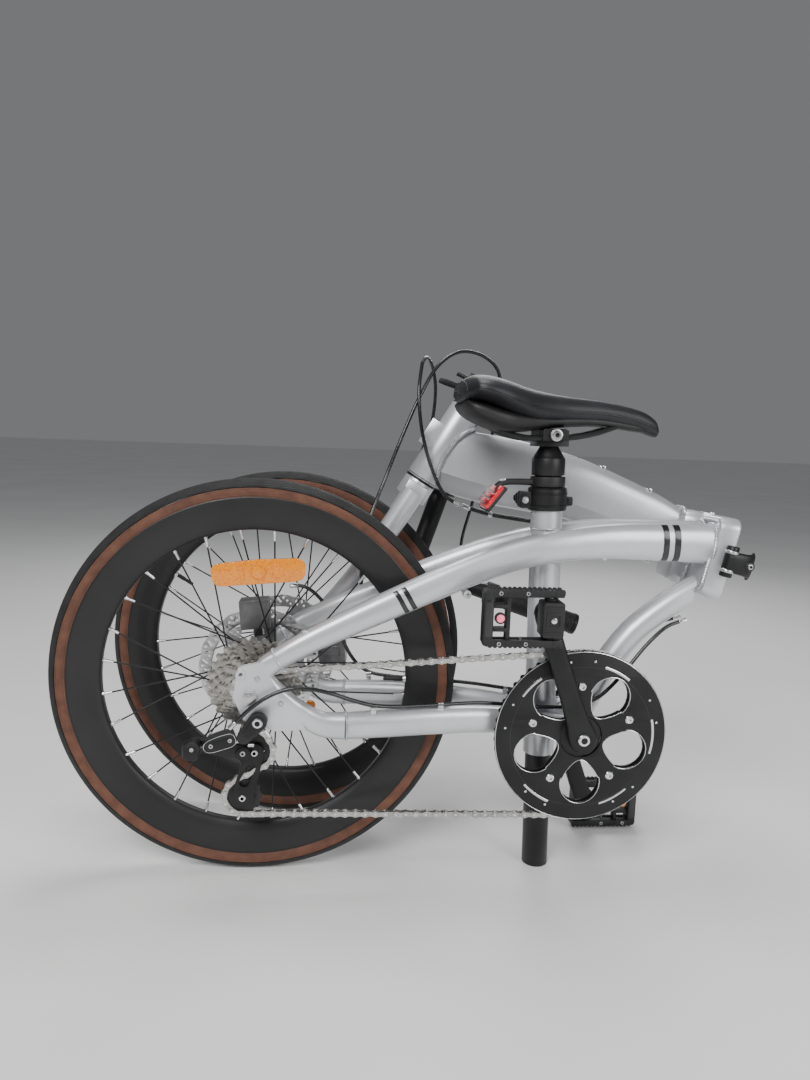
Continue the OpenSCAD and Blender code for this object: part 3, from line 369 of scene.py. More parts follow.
def slab(loops, y0, y1, edge=0.4):
    """Plate in the X-Z plane with holes, its edges eased."""
    c = bpy.data.curves.new("slab", "CURVE")
    c.dimensions, c.fill_mode = "2D", "BOTH"
    c.extrude, c.bevel_depth, c.offset = (y1 - y0) / 2 - edge, edge, -edge
    c.bevel_resolution = 1
    for loop in loops:
        s = c.splines.new("POLY")
        s.points.add(len(loop) - 1)
        for p, (x, z) in zip(s.points, loop):
            p.co = (x, z, 0, 1)
        s.use_cyclic_u = True
    ob = bpy.data.objects.new("slab", c)
    me = bpy.data.meshes.new_from_object(ob)
    v = np.array([p.co for p in me.vertices])
    out = np.stack([v[:, 0], (y0 + y1) / 2 - v[:, 2], v[:, 1]], 1)
    faces = [tuple(f.vertices) for f in me.polygons]
    bpy.data.objects.remove(ob)
    bpy.data.curves.remove(c)
    bpy.data.meshes.remove(me)
    return out, faces, [(p[0] / 100, p[2] / 100) for p in out]


def circle(x, z, r, n=24, start=0.0):
    return [(x + r * cos(start + 2 * pi * i / n),
             z + r * sin(start + 2 * pi * i / n)) for i in range(n)]


def stadium(a, b, ra, rb, n=12):
    """Outline of the hull of two circles."""
    d = hypot(b[0] - a[0], b[1] - a[1])
    base = atan2(b[1] - a[1], b[0] - a[0])
    f = acos(max(-1, min(1, (ra - rb) / d)))
    out = []
    for i in range(n + 1):
        t = base + f + (2 * pi - 2 * f) * i / n
        out.append((a[0] + ra * cos(t), a[1] + ra * sin(t)))
    for i in range(n + 1):
        t = base - f + 2 * f * i / n
        out.append((b[0] + rb * cos(t), b[1] + rb * sin(t)))
    return out


def cog_outline(teeth, r, height=3.6, sharp=.22):
    """Toothed outline about the pitch radius r."""
    out = []
    for i in range(teeth):
        a = 2 * pi * i / teeth
        w = 2 * pi / teeth
        for f, rr in ((-.5, r - height * .62), (-.36, r - height * .5), (-sharp, r + height * .25),
                      (-.09, r + height * .5), (.09, r + height * .5), (sharp, r + height * .25),
                      (.36, r - height * .5)):
            out.append((rr * cos(a + f * w), rr * sin(a + f * w)))
    return out


def moved(loop, x, z):
    return [(p[0] + x, p[1] + z) for p in loop]


def rounded(x0, z0, x1, z1, r, n=5):
    out = []
    for cx, cz, s in ((x1 - r, z1 - r, 0), (x0 + r, z1 - r, 1), (x0 + r, z0 + r, 2),
                      (x1 - r, z0 + r, 3)):
        for i in range(n + 1):
            t = (s + i / n) * pi / 2
            out.append((cx + r * cos(t), cz + r * sin(t)))
    return out


def block(lo, hi, edge=1.0):
    """Box with eased edges; the plate lies across Y."""
    r = min(edge * 1.5, (hi[0] - lo[0]) * .45, (hi[2] - lo[2]) * .45)
    return slab([rounded(lo[0], lo[2], hi[0], hi[2], r)], lo[1], hi[1],
                min(edge, (hi[1] - lo[1]) * .4, r * .9))


class Piece:
    """Collects parts and becomes one object."""

    def __init__(self, name, place=REAR):
        self.name, self.place = name, place
        self.v, self.f, self.m, self.uv, self.mats, self.count = [], [], [], [], [], 0

    def add(self, part, shader, where=None):
        pts, faces, uv = part if where is None else placed(part, where)
        if shader.m not in self.mats:
            self.mats.append(shader.m)
        k = self.mats.index(shader.m)
        self.v.append(pts)
        self.f += [tuple(i + self.count for i in f) for f in faces]
        self.m += [k] * len(faces)
        self.uv += list(uv)
        self.count += len(pts)
        return self

    def done(self, body=None, replaces=(), angle=35, weld=True, sub=0):
        a = np.array(self.place)
        pts = (np.concatenate(self.v) @ a[:3, :3].T + a[:3, 3]) * .001
        me = bpy.data.meshes.new(self.name)
        me.from_pydata(pts.tolist(), [], self.f)
        for m in self.mats:
            me.materials.append(m)
        me.polygons.foreach_set("material_index", self.m)
        layer = me.uv_layers.new(name="uv")
        flat = np.array(self.uv, np.float32)[[l.vertex_index for l in me.loops]]
        layer.data.foreach_set("uv", flat.ravel())
        b = bmesh.new()
        b.from_mesh(me)
        if weld:
            bmesh.ops.remove_doubles(b, verts=b.verts, dist=2e-6)
        bmesh.ops.recalc_face_normals(b, faces=b.faces)
        b.to_mesh(me)
        b.free()
        me.polygons.foreach_set("use_smooth", [True] * len(me.polygons))
        me.set_sharp_from_angle(angle=radians(angle))
        ob = bpy.data.objects.new(self.name, me)
        bpy.context.scene.collection.objects.link(ob)
        if sub:
            s = ob.modifiers.new("subdivision", "SUBSURF")
            s.levels = s.render_levels = sub
        if body:
            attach(ob, body)
        if replaces:
            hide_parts(*replaces)
        return ob


def keep(node, shader, bevel=0.0, angle=32):
    """A CAD node that stays: its material, smooth shading and eased edges."""
    ob = NODES[node]
    ob.data.materials.clear()
    ob.data.materials.append(shader.m)
    ob.data.polygons.foreach_set("material_index", [0] * len(ob.data.polygons))
    if ob.data.has_custom_normals:
        with bpy.context.temp_override(object=ob, active_object=ob, selected_objects=[ob]):
            bpy.ops.mesh.customdata_custom_splitnormals_clear()
    ob.data.polygons.foreach_set("use_smooth", [True] * len(ob.data.polygons))
    weld = ob.modifiers.new("weld", "WELD")
    weld.merge_threshold = 2e-6
    if bevel:
        b = ob.modifiers.new("bevel", "BEVEL")
        b.width, b.segments, b.limit_method, b.angle_limit = bevel * .001, 2, "ANGLE", radians(38)
        b.harden_normals = False
    split = ob.modifiers.new("split", "EDGE_SPLIT")
    split.split_angle = radians(angle)
    split.use_edge_sharp = False
    return ob

# ---------- wheels ----------

RIM_IN = 190.0


def wheel(tag, place, body, flange_right, flange_left, rotor_y, reflector):
    p = Piece(tag + "_tyre_skin", place)
    arc = [radians(d) for d in range(-132, 133, 6)]
    ring = [(239.5 + 13.95 * cos(a), 13.95 * sin(a)) for a in arc]
    ring = [q for q in ring if q[0] > 231.2]
    tread = [q for q in ring if q[0] > 243.2]
    side = [q for q in ring if q[0] <= 243.8]
    p.add(lathe([(243.0, tread[0][1] - .1)] + tread + [(243.0, tread[-1][1] + .1)], 192, False), TREAD)
    for s in (-1, 1):
        wall = sorted([q for q in side if q[1] * s > 0])
        wall = [(231.0, wall[0][1] - s * 1.2)] + [(231.0, wall[0][1])] + wall
        p.add(lathe(wall, 160, False), WALL)
        p.add(hoop(243.6, s * 13.35, .6, .5, 160), TREAD)
        for r in (233.4, 241.0):
            y = s * math.sqrt(max(0, 13.9 ** 2 - (r - 239.5) ** 2))
            p.add(hoop(r, y, .45, .35, 160), WALL)
    p.done(body, (tag + "_tyre",))

    p = Piece(tag + "_rim_skin", place)
    half = [(190.0, 4.6), (190.4, 5.2), (192, 6.6), (196, 8.6), (203, 10.4), (211, 11.5), (220, 11.95),
            (228, 11.95), (230.4, 11.9), (231, 11.5), (230.8, 10.4), (226, 10.2), (223, 8)]
    prof = [(r, -y) for r, y in half][::-1] + half
    p.add(lathe(prof, 160, True), RIM)
    for s in (-1, 1):
        p.add(hoop(229.2, s * 11.95, .35, .25, 160), RIM)
    pairs = 7
    for s in (0, 1):
        for i in range(pairs):
            for lead in (-1, 1):
                ra = 2 * pi / pairs * (i + .25 * lead + .25 * (s * 2 - 1) / 2)
                ha = ra + lead * radians(62)
                y = (flange_left if s else flange_right) + lead * 1.8
                a = np.array([27 * cos(ha), y, 27 * sin(ha)])
                b = np.array([RIM_IN * cos(ra), (s * 2 - 1) * 2, RIM_IN * sin(ra)])
                d = (b - a) / np.linalg.norm(b - a)
                p.add(tube([b - d * 13, b - d * 12.4, b - d * 4, b - d * 3.4, b + d * .5],
                           [1.35, 1.75, 1.85, 2.2, 2.3], n=10, side=(.1, .9, .2)), BRIGHT)
                p.add(tube([a - d * 3, a + d * 1.5], [1.7, 1.2], n=8, side=(.1, .9, .2)), BRIGHT)
    p.add(tube([(190, 0, 0), (176, 0, 0), (174, 0, 0), (163, 0, 0), (161.5, 0, 0)],
               [3.0, 3.0, 2.4, 2.4, 1.6], n=16), BLACK)
    p.add(tube([(190.2, 0, 0), (186.5, 0, 0)], [5.2, 4.2], n=16), BRIGHT)
    p.done(body, (tag + "_rim",))
    keep(tag + "_spokes", SPOKE)

    # rotor: waved edge, drilled track and leaning arms
    outer = []
    for i in range(216):
        t = 2 * pi * i / 216
        outer.append(((79.2 + .8 * cos(18 * t)) * cos(t), (79.2 + .8 * cos(18 * t)) * sin(t)))
    loops = [outer, circle(0, 0, 14, 40)]
    for i in range(18):
        t = 2 * pi * i / 18
        for k, (r, off) in enumerate(((75.4, 0), (71.4, .075), (67.9, .15))):
            loops.append(circle(r * cos(t + off), r * sin(t + off), 2.0 - .25 * k, 10))
        c, s2 = t + .24, t + .29
        loops.append(stadium((74.6 * cos(c), 74.6 * sin(c)), (69.4 * cos(s2), 69.4 * sin(s2)), 1.5, 1.5,
                             5))
    for i in range(6):
        t0, t1 = 2 * pi * i / 6 + .13, 2 * pi * (i + 1) / 6 - .13
        win = [(62.5 * cos(t0 + .33 + (t1 - t0) * j / 12), 62.5 * sin(t0 + .33 + (t1 - t0) * j / 12))
               for j in range(13)]
        win += [(28 * cos(t1 - .12 - (t1 - t0 - .24) * j / 8),
                 28 * sin(t1 - .12 - (t1 - t0 - .24) * j / 8))
                for j in range(9)]
        loops.append(win)
        loops.append(circle(21.5 * cos(t0), 21.5 * sin(t0), 2.4, 10))
    p = Piece(tag + "_disc_rotor", place)
    p.add(slab(loops, rotor_y, rotor_y + 1.8, .2), STEEL)
    for i in range(6):
        t = 2 * pi * i / 6 + .13
        p.add(at(bolt(3.6, -1.6, 1), 21.5 * cos(t), rotor_y, 21.5 * sin(t)), BLACK)
        p.add(at(placed(bolt(3.6, -1.6, 1), turn(180, "X")), 21.5 * cos(t), rotor_y + 1.8,
                 21.5 * sin(t)), BRIGHT)
    p.done(body, (tag + "_rotor",))

    # hub details over the CAD shell
    keep(tag + "_hub", ALLOY_BLACK, .5)
    p = Piece(tag + "_hub_rings", place)
    for y in (flange_right, flange_left):
        for s in (-1, 1):
            p.add(hoop(29.9, y + s * 1.2, .4, .4, 60), BRIGHT)
    mid = (flange_left + flange_right) / 2
    p.add(lathe([(16.1, mid - 3), (16.9, mid - 2), (16.9, mid + 2), (16.1, mid + 3)], 48), BRIGHT)
    p.done(body)

    # reflector clipped between the spokes: radius, angle, tilt
    r, angle, y, tilt = reflector
    spot = shift(r * cos(radians(angle)), y, r * sin(radians(angle))) @ turn(-tilt, "Y")
    p = Piece(tag + "_spoke_reflector", place)
    k = 1.32 if tag == "rear" else 1.0
    outline = [(-43, -6), (-40, -10), (-34, -11.5), (34, -11.5), (40, -10), (43, -6), (44, 4), (42, 8),
               (37, 10.5), (0, 12), (-37, 10.5), (-42, 8), (-44, 4)]
    outline = [(x * k, z * k) for x, z in outline]
    p.add(slab([outline], -4.5, -1, .9), AMBER, spot)
    p.add(slab([[(x * .985, z * .97) for x, z in outline]], -1.2, 3.2, .9), AMBER, spot)
    p.add(at(drum(8.5, -5.6, -4, .6, 0, 40)), AMBER, spot)
    p.add(hoop(9.4, -4.9, .7, .5, 40),
          AMBER, spot)
    for x in (-24, 24):
        p.add(block((x - 7, -5.1, -8), (x + 7, -4.2, 8), .3), AMBER, spot)
    p.add(block((-9, 2.8, -7), (9, 6.2, 7), .8), PLASTIC, spot)
    p.done(body)


wheel("rear", REAR, "rear_wheel", -17, 31, 49, (138, 89, -6, 5))
wheel("front", FWHEEL, "front_wheel", -32, 16, 35, (96, 238, 2, -32))
keep("rear_axle", STEEL, .4)

# ---------- chain, sprockets and chainring ----------

PITCH = 12.7
RING_R, COG_R = PITCH / 2 / sin(pi / 53), PITCH / 2 / sin(pi / 11)
UPPER, LOWER, CHAIN_Y = (4, -76), (-10, -133.5), -50
CIRCLES = [(*BB, RING_R, 1), (0, 0, COG_R, 1), (*UPPER, COG_R, -1), (*LOWER, COG_R, 1)]


def run_dir(a, b):
    d = (b[0] - a[0], b[1] - a[1])
    return atan2(d[1], d[0]) + asin((a[2] * a[3] - b[2] * b[3]) / hypot(*d))


def chain_line():
    line = []
    for i, c in enumerate(CIRCLES):
        a, b = run_dir(CIRCLES[i - 1], c), run_dir(c, CIRCLES[(i + 1) % 4])
        sweep = ((b - a) * c[3]) % (2 * pi) * c[3]
        n = max(4, int(abs(sweep) * 40))
        for k in range(n + 1):
            t = a + sweep * k / n
            line.append((c[0] + c[2] * c[3] * sin(t), c[1] - c[2] * c[3] * cos(t)))
    return np.array(line)


def chain():
    line = chain_line()
    line = np.vstack([line, line[:1]])
    run = np.concatenate([[0], np.cumsum(np.linalg.norm(np.diff(line, axis=0), axis=1))])
    count = 2 * round(run[-1] / PITCH / 2)
    spots = np.linspace(0, run[-1], count + 1)
    pin = np.stack([np.interp(spots, run, line[:, 0]), np.interp(spots, run, line[:, 1])], 1)

    def plate_loop(waist):
        out = []
        for cx, s in ((6.35, 1), (-6.35, -1)):
            for i in range(9):
                t = radians(-118 + 236 * i / 8)
                out.append((cx + s * 4.1 * cos(t), s * 4.1 * sin(t)))
            out.append((0, s * waist))
        return out
    inner, outer = [], []
    for y in (-1, 1):
        inner.append(slab([plate_loop(2.9)], y * 1.85 - .45, y * 1.85 + .45, .15))
        outer.append(slab([plate_loop(2.5)], y * 2.95 - .45, y * 2.95 + .45, .15))
    roller, rivet = drum(3.85, -1.4, 1.4, .2, 0, 14), drum(1.8, -3.5, 3.5, .3, 0, 10)
    p = Piece("chain_links")
    for i in range(count):
        a, b = pin[i], pin[i + 1]
        m = shift((a[0] + b[0]) / 2, CHAIN_Y, (a[1] + b[1]) / 2) @ Matrix.Rotation(
            -atan2(b[1] - a[1], b[0] - a[0]), 4, "Y")
        for part in (inner if i % 2 else outer):
            p.add(part, CHAIN, m)
        p.add(at(roller, a[0], CHAIN_Y, a[1]), CHAIN)
        p.add(at(rivet, a[0], CHAIN_Y, a[1]), BRIGHT)
    p.done("rear_frame", ("chain",), weld=False)


chain()

p = Piece("sprocket_stack")
for i in range(7):
    teeth = round(13 + 15 * i / 6)
    r, y = PITCH / 2 / sin(pi / teeth), CHAIN_Y + 4 + i * 3.8
    loops = [cog_outline(teeth, r, 4.2)]
    loops.append(circle(0, 0, 15 if teeth < 20 else r - 15, 48))
    if teeth > 17:
        for k in range(teeth):
            if k % 2:
                t = 2 * pi * (k + .5) / teeth
                loops.append(circle((r - 7.2) * cos(t), (r - 7.2) * sin(t), 1.5, 8))
    p.add(slab(loops, y, y + 1.8, .25), COGS)
    if teeth >= 20:
        for k in range(6):
            t = 2 * pi * k / 6 + i * .2
            p.add(slab([stadium((13 * cos(t), 13 * sin(t)),
                                ((r - 12) * cos(t + .16), (r - 12) * sin(t + .16)),
                                4.5, 3.5, 5)], y + .2, y + 1.6, .2), ALLOY_BLACK)
    p.add(lathe([(15, y + 1.6), (17.4, y + 1.8), (17.4, y + 3.8), (15, y + 4)], 48), COGS)
p.add(slab([cog_outline(11, COG_R, 4.0), circle(0, 0, 13, 36)], CHAIN_Y - .9, CHAIN_Y + .9, .2), COGS)
p.add(lathe([(5.2, CHAIN_Y - 2.6), (14.4, CHAIN_Y - 3), (15.4, CHAIN_Y - 2), (15.4, CHAIN_Y + 3),
             (5.2, CHAIN_Y + 3)],
            48), BRIGHT)
for k in range(12):
    t = 2 * pi * k / 12
    p.add(at(drum(.9, CHAIN_Y - 3.3, CHAIN_Y - 2.6, .2, 0, 8), 9.2 * cos(t), 0, 9.2 * sin(t)), STEEL)
p.done("cassette", ("cassette",))

# chainring: toothed ring, lobed windows, guard with its own windows, and bolts
def lobes(r, start):
    """Five rounded windows between the spider's arms."""
    out = []
    for i in range(5):
        t = radians(92 + 36 + 72 * i)
        c, s = cos(t), sin(t)
        shape = []
        for a in range(0, 360, 12):
            q = radians(a)
            u = 56 + 26 * cos(q) + (5 * cos(2 * q) if cos(q) > 0 else 0)
            w = (24 + 9 * cos(q)) * sin(q)
            shape.append((u * r, w * r))
        out.append([(BB[0] + u * c - w * s, BB[1] + u * s + w * c) for u, w in shape])
    return out


def ring_bolts(r):
    return [(BB[0] + r * cos(radians(92 + 72 * i)),
             BB[1] + r * sin(radians(92 + 72 * i))) for i in range(5)]


p = Piece("chainring_set")
holes = [circle(x, z, 4.2, 16) for x, z in ring_bolts(65)]
p.add(slab([moved(cog_outline(53, RING_R, 4.4), *BB), circle(*BB, 27, 48)] + lobes(1.0, 0) + holes,
           CHAIN_Y - 1.4, CHAIN_Y + 1.4, .3), ALLOY_BLACK)
p.add(slab([circle(*BB, 110, 160), circle(*BB, 27, 48)] + lobes(1.0, 0) + holes,
           CHAIN_Y - 8.4, CHAIN_Y - 6.0, .5), ALLOY_BLACK)
for loop in lobes(1.012, 0):
    ring = [(x, CHAIN_Y - 8.5, z) for x, z in loop]
    p.add(tube(ring, .55, n=8, side=(0, 1, 0), closed=True), BRIGHT)
p.add(hoop(109.2, CHAIN_Y - 8.1, .5, .5, 160), BRIGHT, shift(BB[0], 0, BB[1]))
p.add(hoop(90.5, CHAIN_Y - 8.4, .4, .3, 160), DECAL, shift(BB[0], 0, BB[1]))
for x, z in ring_bolts(65):
    p.add(at(bolt(5.4, CHAIN_Y - 10.2, CHAIN_Y + 2.6), x, 0, z), BRIGHT)
for a0, a1 in ((-14, 14), (-72, -48), (-138, -114), (126, 146), (52, 74)):
    arc = [(BB[0] + 93 * cos(radians(a)), CHAIN_Y - 8.5, BB[1] + 93 * sin(radians(a)))
           for a in np.linspace(a0, a1, 20)]
    p.add(tube(arc, .6, 1.5, n=10, side=(0, 1, 0)), BRIGHT)
for i in range(5):
    t = radians(92 + 72 * i)
    for k in (-.16, .16):
        p.add(at(drum(1.6, CHAIN_Y - 9.2, CHAIN_Y - 6, .3, 0, 12), BB[0] + 98 * cos(t + k), 0,
                 BB[1] + 98 * sin(t + k)), BRIGHT)
p.done("crank", ("chainring",))


def crank(side, angle, replaces):
    """Forged arm; side is -1 on the right."""
    end = (BB[0] + 170 * cos(radians(angle)), BB[1] + 170 * sin(radians(angle)))
    p = Piece("crank_arm_right" if side < 0 else "crank_arm_left")
    d = np.array([cos(radians(angle)), sin(radians(angle))])
    n = np.array([-d[1], d[0]])
    stations = [(-18, 4), (-15, 11), (-8, 16.5), (0, 18), (10, 17), (24, 14.5), (60, 12.5), (110, 12.5),
                (150, 13), (164, 13.2), (174, 12), (180, 8), (183, 3)]
    rows = []
    for s, w in stations:
        thick = 6.5 if s < 150 else 6.2
        mid = side * 65.5
        c = np.array(BB) + d * s
        row = []
        for k in range(20):
            t = 2 * pi * k / 20
            a, b = cos(t), sin(t)
            a, b = math.copysign(abs(a) ** .45, a), math.copysign(abs(b) ** .6, b)
            row.append((c[0] + n[0] * w * a, mid + thick * b, c[1] + n[1] * w * a))
        rows.append(row)
    k = 20
    faces = [(i * k + j, (i + 1) * k + j, (i + 1) * k + (j + 1) % k, i * k + (j + 1) % k)
             for i in range(len(rows) - 1) for j in range(k)]
    faces += [tuple(range(k)), tuple((len(rows) - 1) * k + j for j in range(k))]
    pts = np.array(rows).reshape(-1, 3)
    p.add((pts, faces, [(q[0] / 100, q[2] / 100) for q in pts]), ALLOY_BLACK)
    spot = shift(BB[0], 0, BB[1])
    sgn = turn(0 if side < 0 else 180, "Z")
    p.add(drum(15, -60, -38, .6, 8.6), ALLOY_BLACK, spot @ sgn)
    p.add(bolt(8.2, -73.2, -70), BRIGHT, spot @ sgn)
    p.add(hoop(9, -72, .9, .6, 40),
          ALLOY_BLACK, spot @ sgn)
    pin = shift(end[0], 0, end[1]) @ sgn
    p.add(drum(6.9, -84, -60, .5), STEEL, pin)
    p.add(drum(9.5, -75, -71.5, .6), STEEL, pin)
    if side < 0:
        for x, z in ring_bolts(65):
            a = np.array([x - BB[0], z - BB[1]]) / 65
            w = np.array([-a[1], a[0]])
            loop = []
            for s, h in ((15, 13), (24, 9.5), (38, 8), (54, 8.5), (65, 9)):
                loop.append(np.array(BB) + a * s + w * h)
            for q in range(7):
                t = pi / 2 - pi * q / 6
                loop.append(np.array(BB) + a * (65 + 9 * cos(t)) + w * 9 * sin(t))
            for s, h in ((54, 8.5), (38, 8), (24, 9.5), (15, 13)):
                loop.append(np.array(BB) + a * s - w * h)
            p.add(slab([[tuple(v) for v in loop], circle(x, z, 5.2, 16)], -56, -51.6, .8), ALLOY_BLACK)
        p.add(lathe([(15, -57), (26, -56), (27.5, -54), (27.5, -51.6), (15, -51.6)], 64), ALLOY_BLACK,
              spot)
    p.done("crank", replaces, angle=40)
    return end


RIGHT_END = crank(-1, 110, ("crank_right",))
LEFT_END = crank(1, 290, ("crank_left",))
keep("crank_spindle", STEEL)
keep("bb_cartridge", PEWTER, .5)

# ---------- pedals ----------


def pedal(tag, end, side, forward):
    """Folding pedal: toothed frame on a pin through its hub."""
    spot = shift(end[0], side * 91, end[1])
    hub = Piece("pedal_block_" + tag, REAR @ spot)
    hub.add(block((-13, -17 if side < 0 else -10, -21), (13, 10 if side < 0 else 17, 21), 2.2), PLASTIC)
    face = -17.0 if side < 0 else 17.0
    f0, f1 = (face - .9, face + .4) if side < 0 else (face - .4, face + .9)
    hub.add(slab([rounded(-9.5, -9.5, 9.5, 9.5, 3), rounded(-6.6, -6.6, 6.6, 6.6, 2)], f0, f1, .3),
            PLASTIC)
    hub.add(at(drum(3.4, f0, f1, .3)), BRIGHT)
    for z in (-23.5, 21):
        hub.add(placed(drum(8, 0, 2.6, .5), shift(0, 0, z) @ turn(90, "X")), PLASTIC)
    for z in (-15, 15):
        hub.add(block((-11, f0 + .2, z - 1.2), (11, f1 - .2, z + 1.2), .3), PLASTIC)
    hub.done("pedal_hub_" + tag, ("pedal_hub_" + tag,))

    p = Piece("pedal_cage_" + tag, REAR @ spot @ Matrix.Scale(forward, 4, (1, 0, 0)))
    for s in (-1, 1):
        z0, z1 = (25, 34.6) if s > 0 else (-34.6, -25)
        teeth = []
        for i in range(15):
            x = -75 + i * 6
            teeth += [(x, s * 33.4), (x + 1.2, s * 34.9), (x + 4, s * 34.9), (x + 5.2, s * 33.4)]
        loop = teeth + [(14.5, s * 30), (13, s * 25.6), (-79, s * 25.6), (-81, s * 27), (-80.4, s * 30),
                        (-78.4, s * 32.6)]
        p.add(slab([loop], -9.6, -5.4, .6), PLASTIC)
        p.add(slab([loop], 5.4, 9.6, .6), PLASTIC)
        p.add(block((-80, -5.6, min(z0, z1) + 1), (14, 5.6, max(z0, z1) - 2.4), .8), PLASTIC)
        for x in (-70, -52, -34, 4):
            p.add(block((x - 2, -9.9, min(s * 26, s * 33)), (x + 2, 9.9, max(s * 26, s * 33)), .5),
                  PLASTIC)
    p.add(slab([rounded(-81, -33.6, -69.5, 33.6, 5)], -9.8, 9.8, 1.2), PLASTIC)
    p.add(slab([rounded(-79, -22, -71, 22, 2.5)], -10.0, -9.2, .3), DECAL)
    p.add(block((-54, -5.8, -30), (-48.6, 5.8, 30), 1), PLASTIC)
    for z in (-14, 14):
        p.add(block((-72, -6, z - 2.4), (-50, 6, z + 2.4), .8), PLASTIC)
    p.add(placed(drum(3, -33, 33, .5), turn(90, "X")), STEEL)
    for x in (-62, -30):
        for z in (-30, 30):
            p.add(at(bolt(2.6, -10.1, -8.5), x, 0, z), STEEL)
    p.add(at(drum(6.8, -7.6, -3.5, .5), -61, 0, 0), PLASTIC)
    # The right pedal's lens carries the painted glow; the left pedal's lens is plain amber.
    p.add(at(drum(4.8, -9.6, -6.5, 1.4), -61, 0, 0), LENS_PAINTED_GLOW if side < 0 else AMBER)
    p.done("pedal_" + tag, ("pedal_platform_" + tag,))


pedal("right", RIGHT_END, -1, 1)
pedal("left", LEFT_END, 1, -1)

# ---------- derailleur ----------

HANGER, LINK_IN = (10, -27), (-6, -46)
CAGE = (UPPER[0] - 13, UPPER[1] + 3)

p = Piece("derailleur_mount")
p.add(slab([stadium(HANGER, LINK_IN, 11, 8, 14)], -86, -76, 1.6), PLASTIC)
p.add(slab([stadium(HANGER, (LINK_IN[0] + 4, LINK_IN[1] + 6), 8, 5, 12)], -87.2, -85, .6), ALLOY_BLACK)
p.add(drum(9, -75.9, -73.6, .4), ALLOY_BLACK, shift(HANGER[0], 0, HANGER[1]))
p.add(bolt(6.2, -89.5, -84), BRIGHT, shift(HANGER[0], 0, HANGER[1]))
p.add(placed(bolt(2.4, -3, 4), turn(90, "Z")), STEEL, shift(3, -81, -56))
p.add(rod((-5, -81, -39), (-7.5, -81, -53), 3.1), STEEL)
p.add(rod((18, -81, -38), (24, -81, -46), 2.2), BRIGHT)
p.done("rear_frame", ("derailleur_body",))

p = Piece("derailleur_parallelogram")
body = [(-18, -43), (-24, -42), (-42, -48), (-51, -54), (-52, -61), (-45, -65), (-30, -61), (-19, -57),
        (-15, -51)]
body = [tuple(v) for v in smooth(body + body[:1], 4)[:-1]]
p.add(slab([body], -81.5, -71.5, 1.8), PLASTIC)
trim = [(-22, -46.5), (-40, -51.5), (-46, -56), (-40, -60), (-24, -55.5)]
p.add(slab([[tuple(v) for v in smooth(trim + trim[:1], 4)[:-1]]], -82.6, -80.5, .6), ALLOY_BLACK)
edge = [(x, -81.9, z) for x, z in body]
p.add(tube(edge, .45, n=8, closed=True), BRIGHT)
for x, z in ((-22, -50), (-44, -57)):
    p.add(at(bolt(2.6, -83.6, -80), x, 0, z), STEEL)
for y, lift in ((-79.6, 6.5), (-74, -3.5)):
    outer = [(x * .92 - 2, z * .9 - 5 + lift) for x, z in body]
    p.add(slab([outer], y - 1.6, y + 1.6, 1), PLASTIC)
p.add(rod((-20, -76.5, -45), (-47, -76.5, -58), 5.4), PLASTIC)
p.add(rod((-49, -76.5, -60), (-58, -76.5, -62), 4.2), ALLOY_BLACK)
p.done("derailleur_link", ("derailleur_link",))

p = Piece("derailleur_arm")
p.add(slab([stadium((-66, -61), (-66, -68), 9.5, 8, 10)], -82, -64, 2.4), PLASTIC)
p.add(slab([stadium((-64, -63), CAGE, 8.5, 9, 12)], -64.5, -58, 1.4), PLASTIC)
p.add(at(drum(8.6, -66.5, -63, 1.2), CAGE[0], 0, CAGE[1]), ALLOY_BLACK)
p.add(at(bolt(3.4, -67.6, -64), CAGE[0], 0, CAGE[1]), STEEL)
p.add(at(drum(5, -60, -57.2, .3), CAGE[0], 0, CAGE[1]), STEEL)
p.add(at(bolt(2.6, -84, -80), -66, 0, -61), STEEL)
p.add(at(block((-78, -81, -77), (-58, -63, -54), 4)), PLASTIC)
p.add(at(drum(8.4, -82.4, -80, .8), -67, 0, -66), ALLOY_BLACK)
p.done("derailleur_knuckle", ("derailleur_knuckle",))

p = Piece("derailleur_cage_plates")
for y, w0, w1 in ((CHAIN_Y - 7, 11.5, 13.5), (CHAIN_Y + 5, 11, 13)):
    wide = stadium(UPPER, LOWER, w0, w1, 14)
    slot_a = stadium((UPPER[0] - 3, UPPER[1] - 19), (LOWER[0] + 2, LOWER[1] + 20), 5, 6, 8)
    p.add(slab([wide, slot_a], y, y + 2, .35), ALLOY_BLACK)
for j in (UPPER, LOWER):
    p.add(at(bolt(4.2, CHAIN_Y - 9, CHAIN_Y - 6.5), j[0], 0, j[1]), BRIGHT)
    p.add(at(drum(2.95, CHAIN_Y - 7, CHAIN_Y + 7, .3), j[0], 0, j[1]), STEEL)
p.add(rod((UPPER[0] - 10, CHAIN_Y - 5, UPPER[1] - 24), (UPPER[0] - 10, CHAIN_Y + 5, UPPER[1] - 24), 2),
      ALLOY_BLACK)
p.done("derailleur_cage", ("derailleur_cage",))
for tag, j in (("upper", UPPER), ("lower", LOWER)):
    p = Piece("guide_wheel_" + tag)
    loops = [moved(cog_outline(11, COG_R, 2.2), *j), circle(*j, 3.1, 20)]
    for k in range(5):
        t = 2 * pi * k / 5
        loops.append(circle(j[0] + 9.6 * cos(t), j[1] + 9.6 * sin(t), 2.3, 10))
    p.add(slab(loops, CHAIN_Y - 1.1, CHAIN_Y + 1.1, .2), PLASTIC)
    p.add(at(drum(6, CHAIN_Y - 2, CHAIN_Y + 2, .4, 3.1), j[0], 0, j[1]), STEEL)
    p.done("jockey_" + tag, ("jockey_" + tag,))

# ---------- frame: kept CAD tubes, with welds, bands and fittings ----------

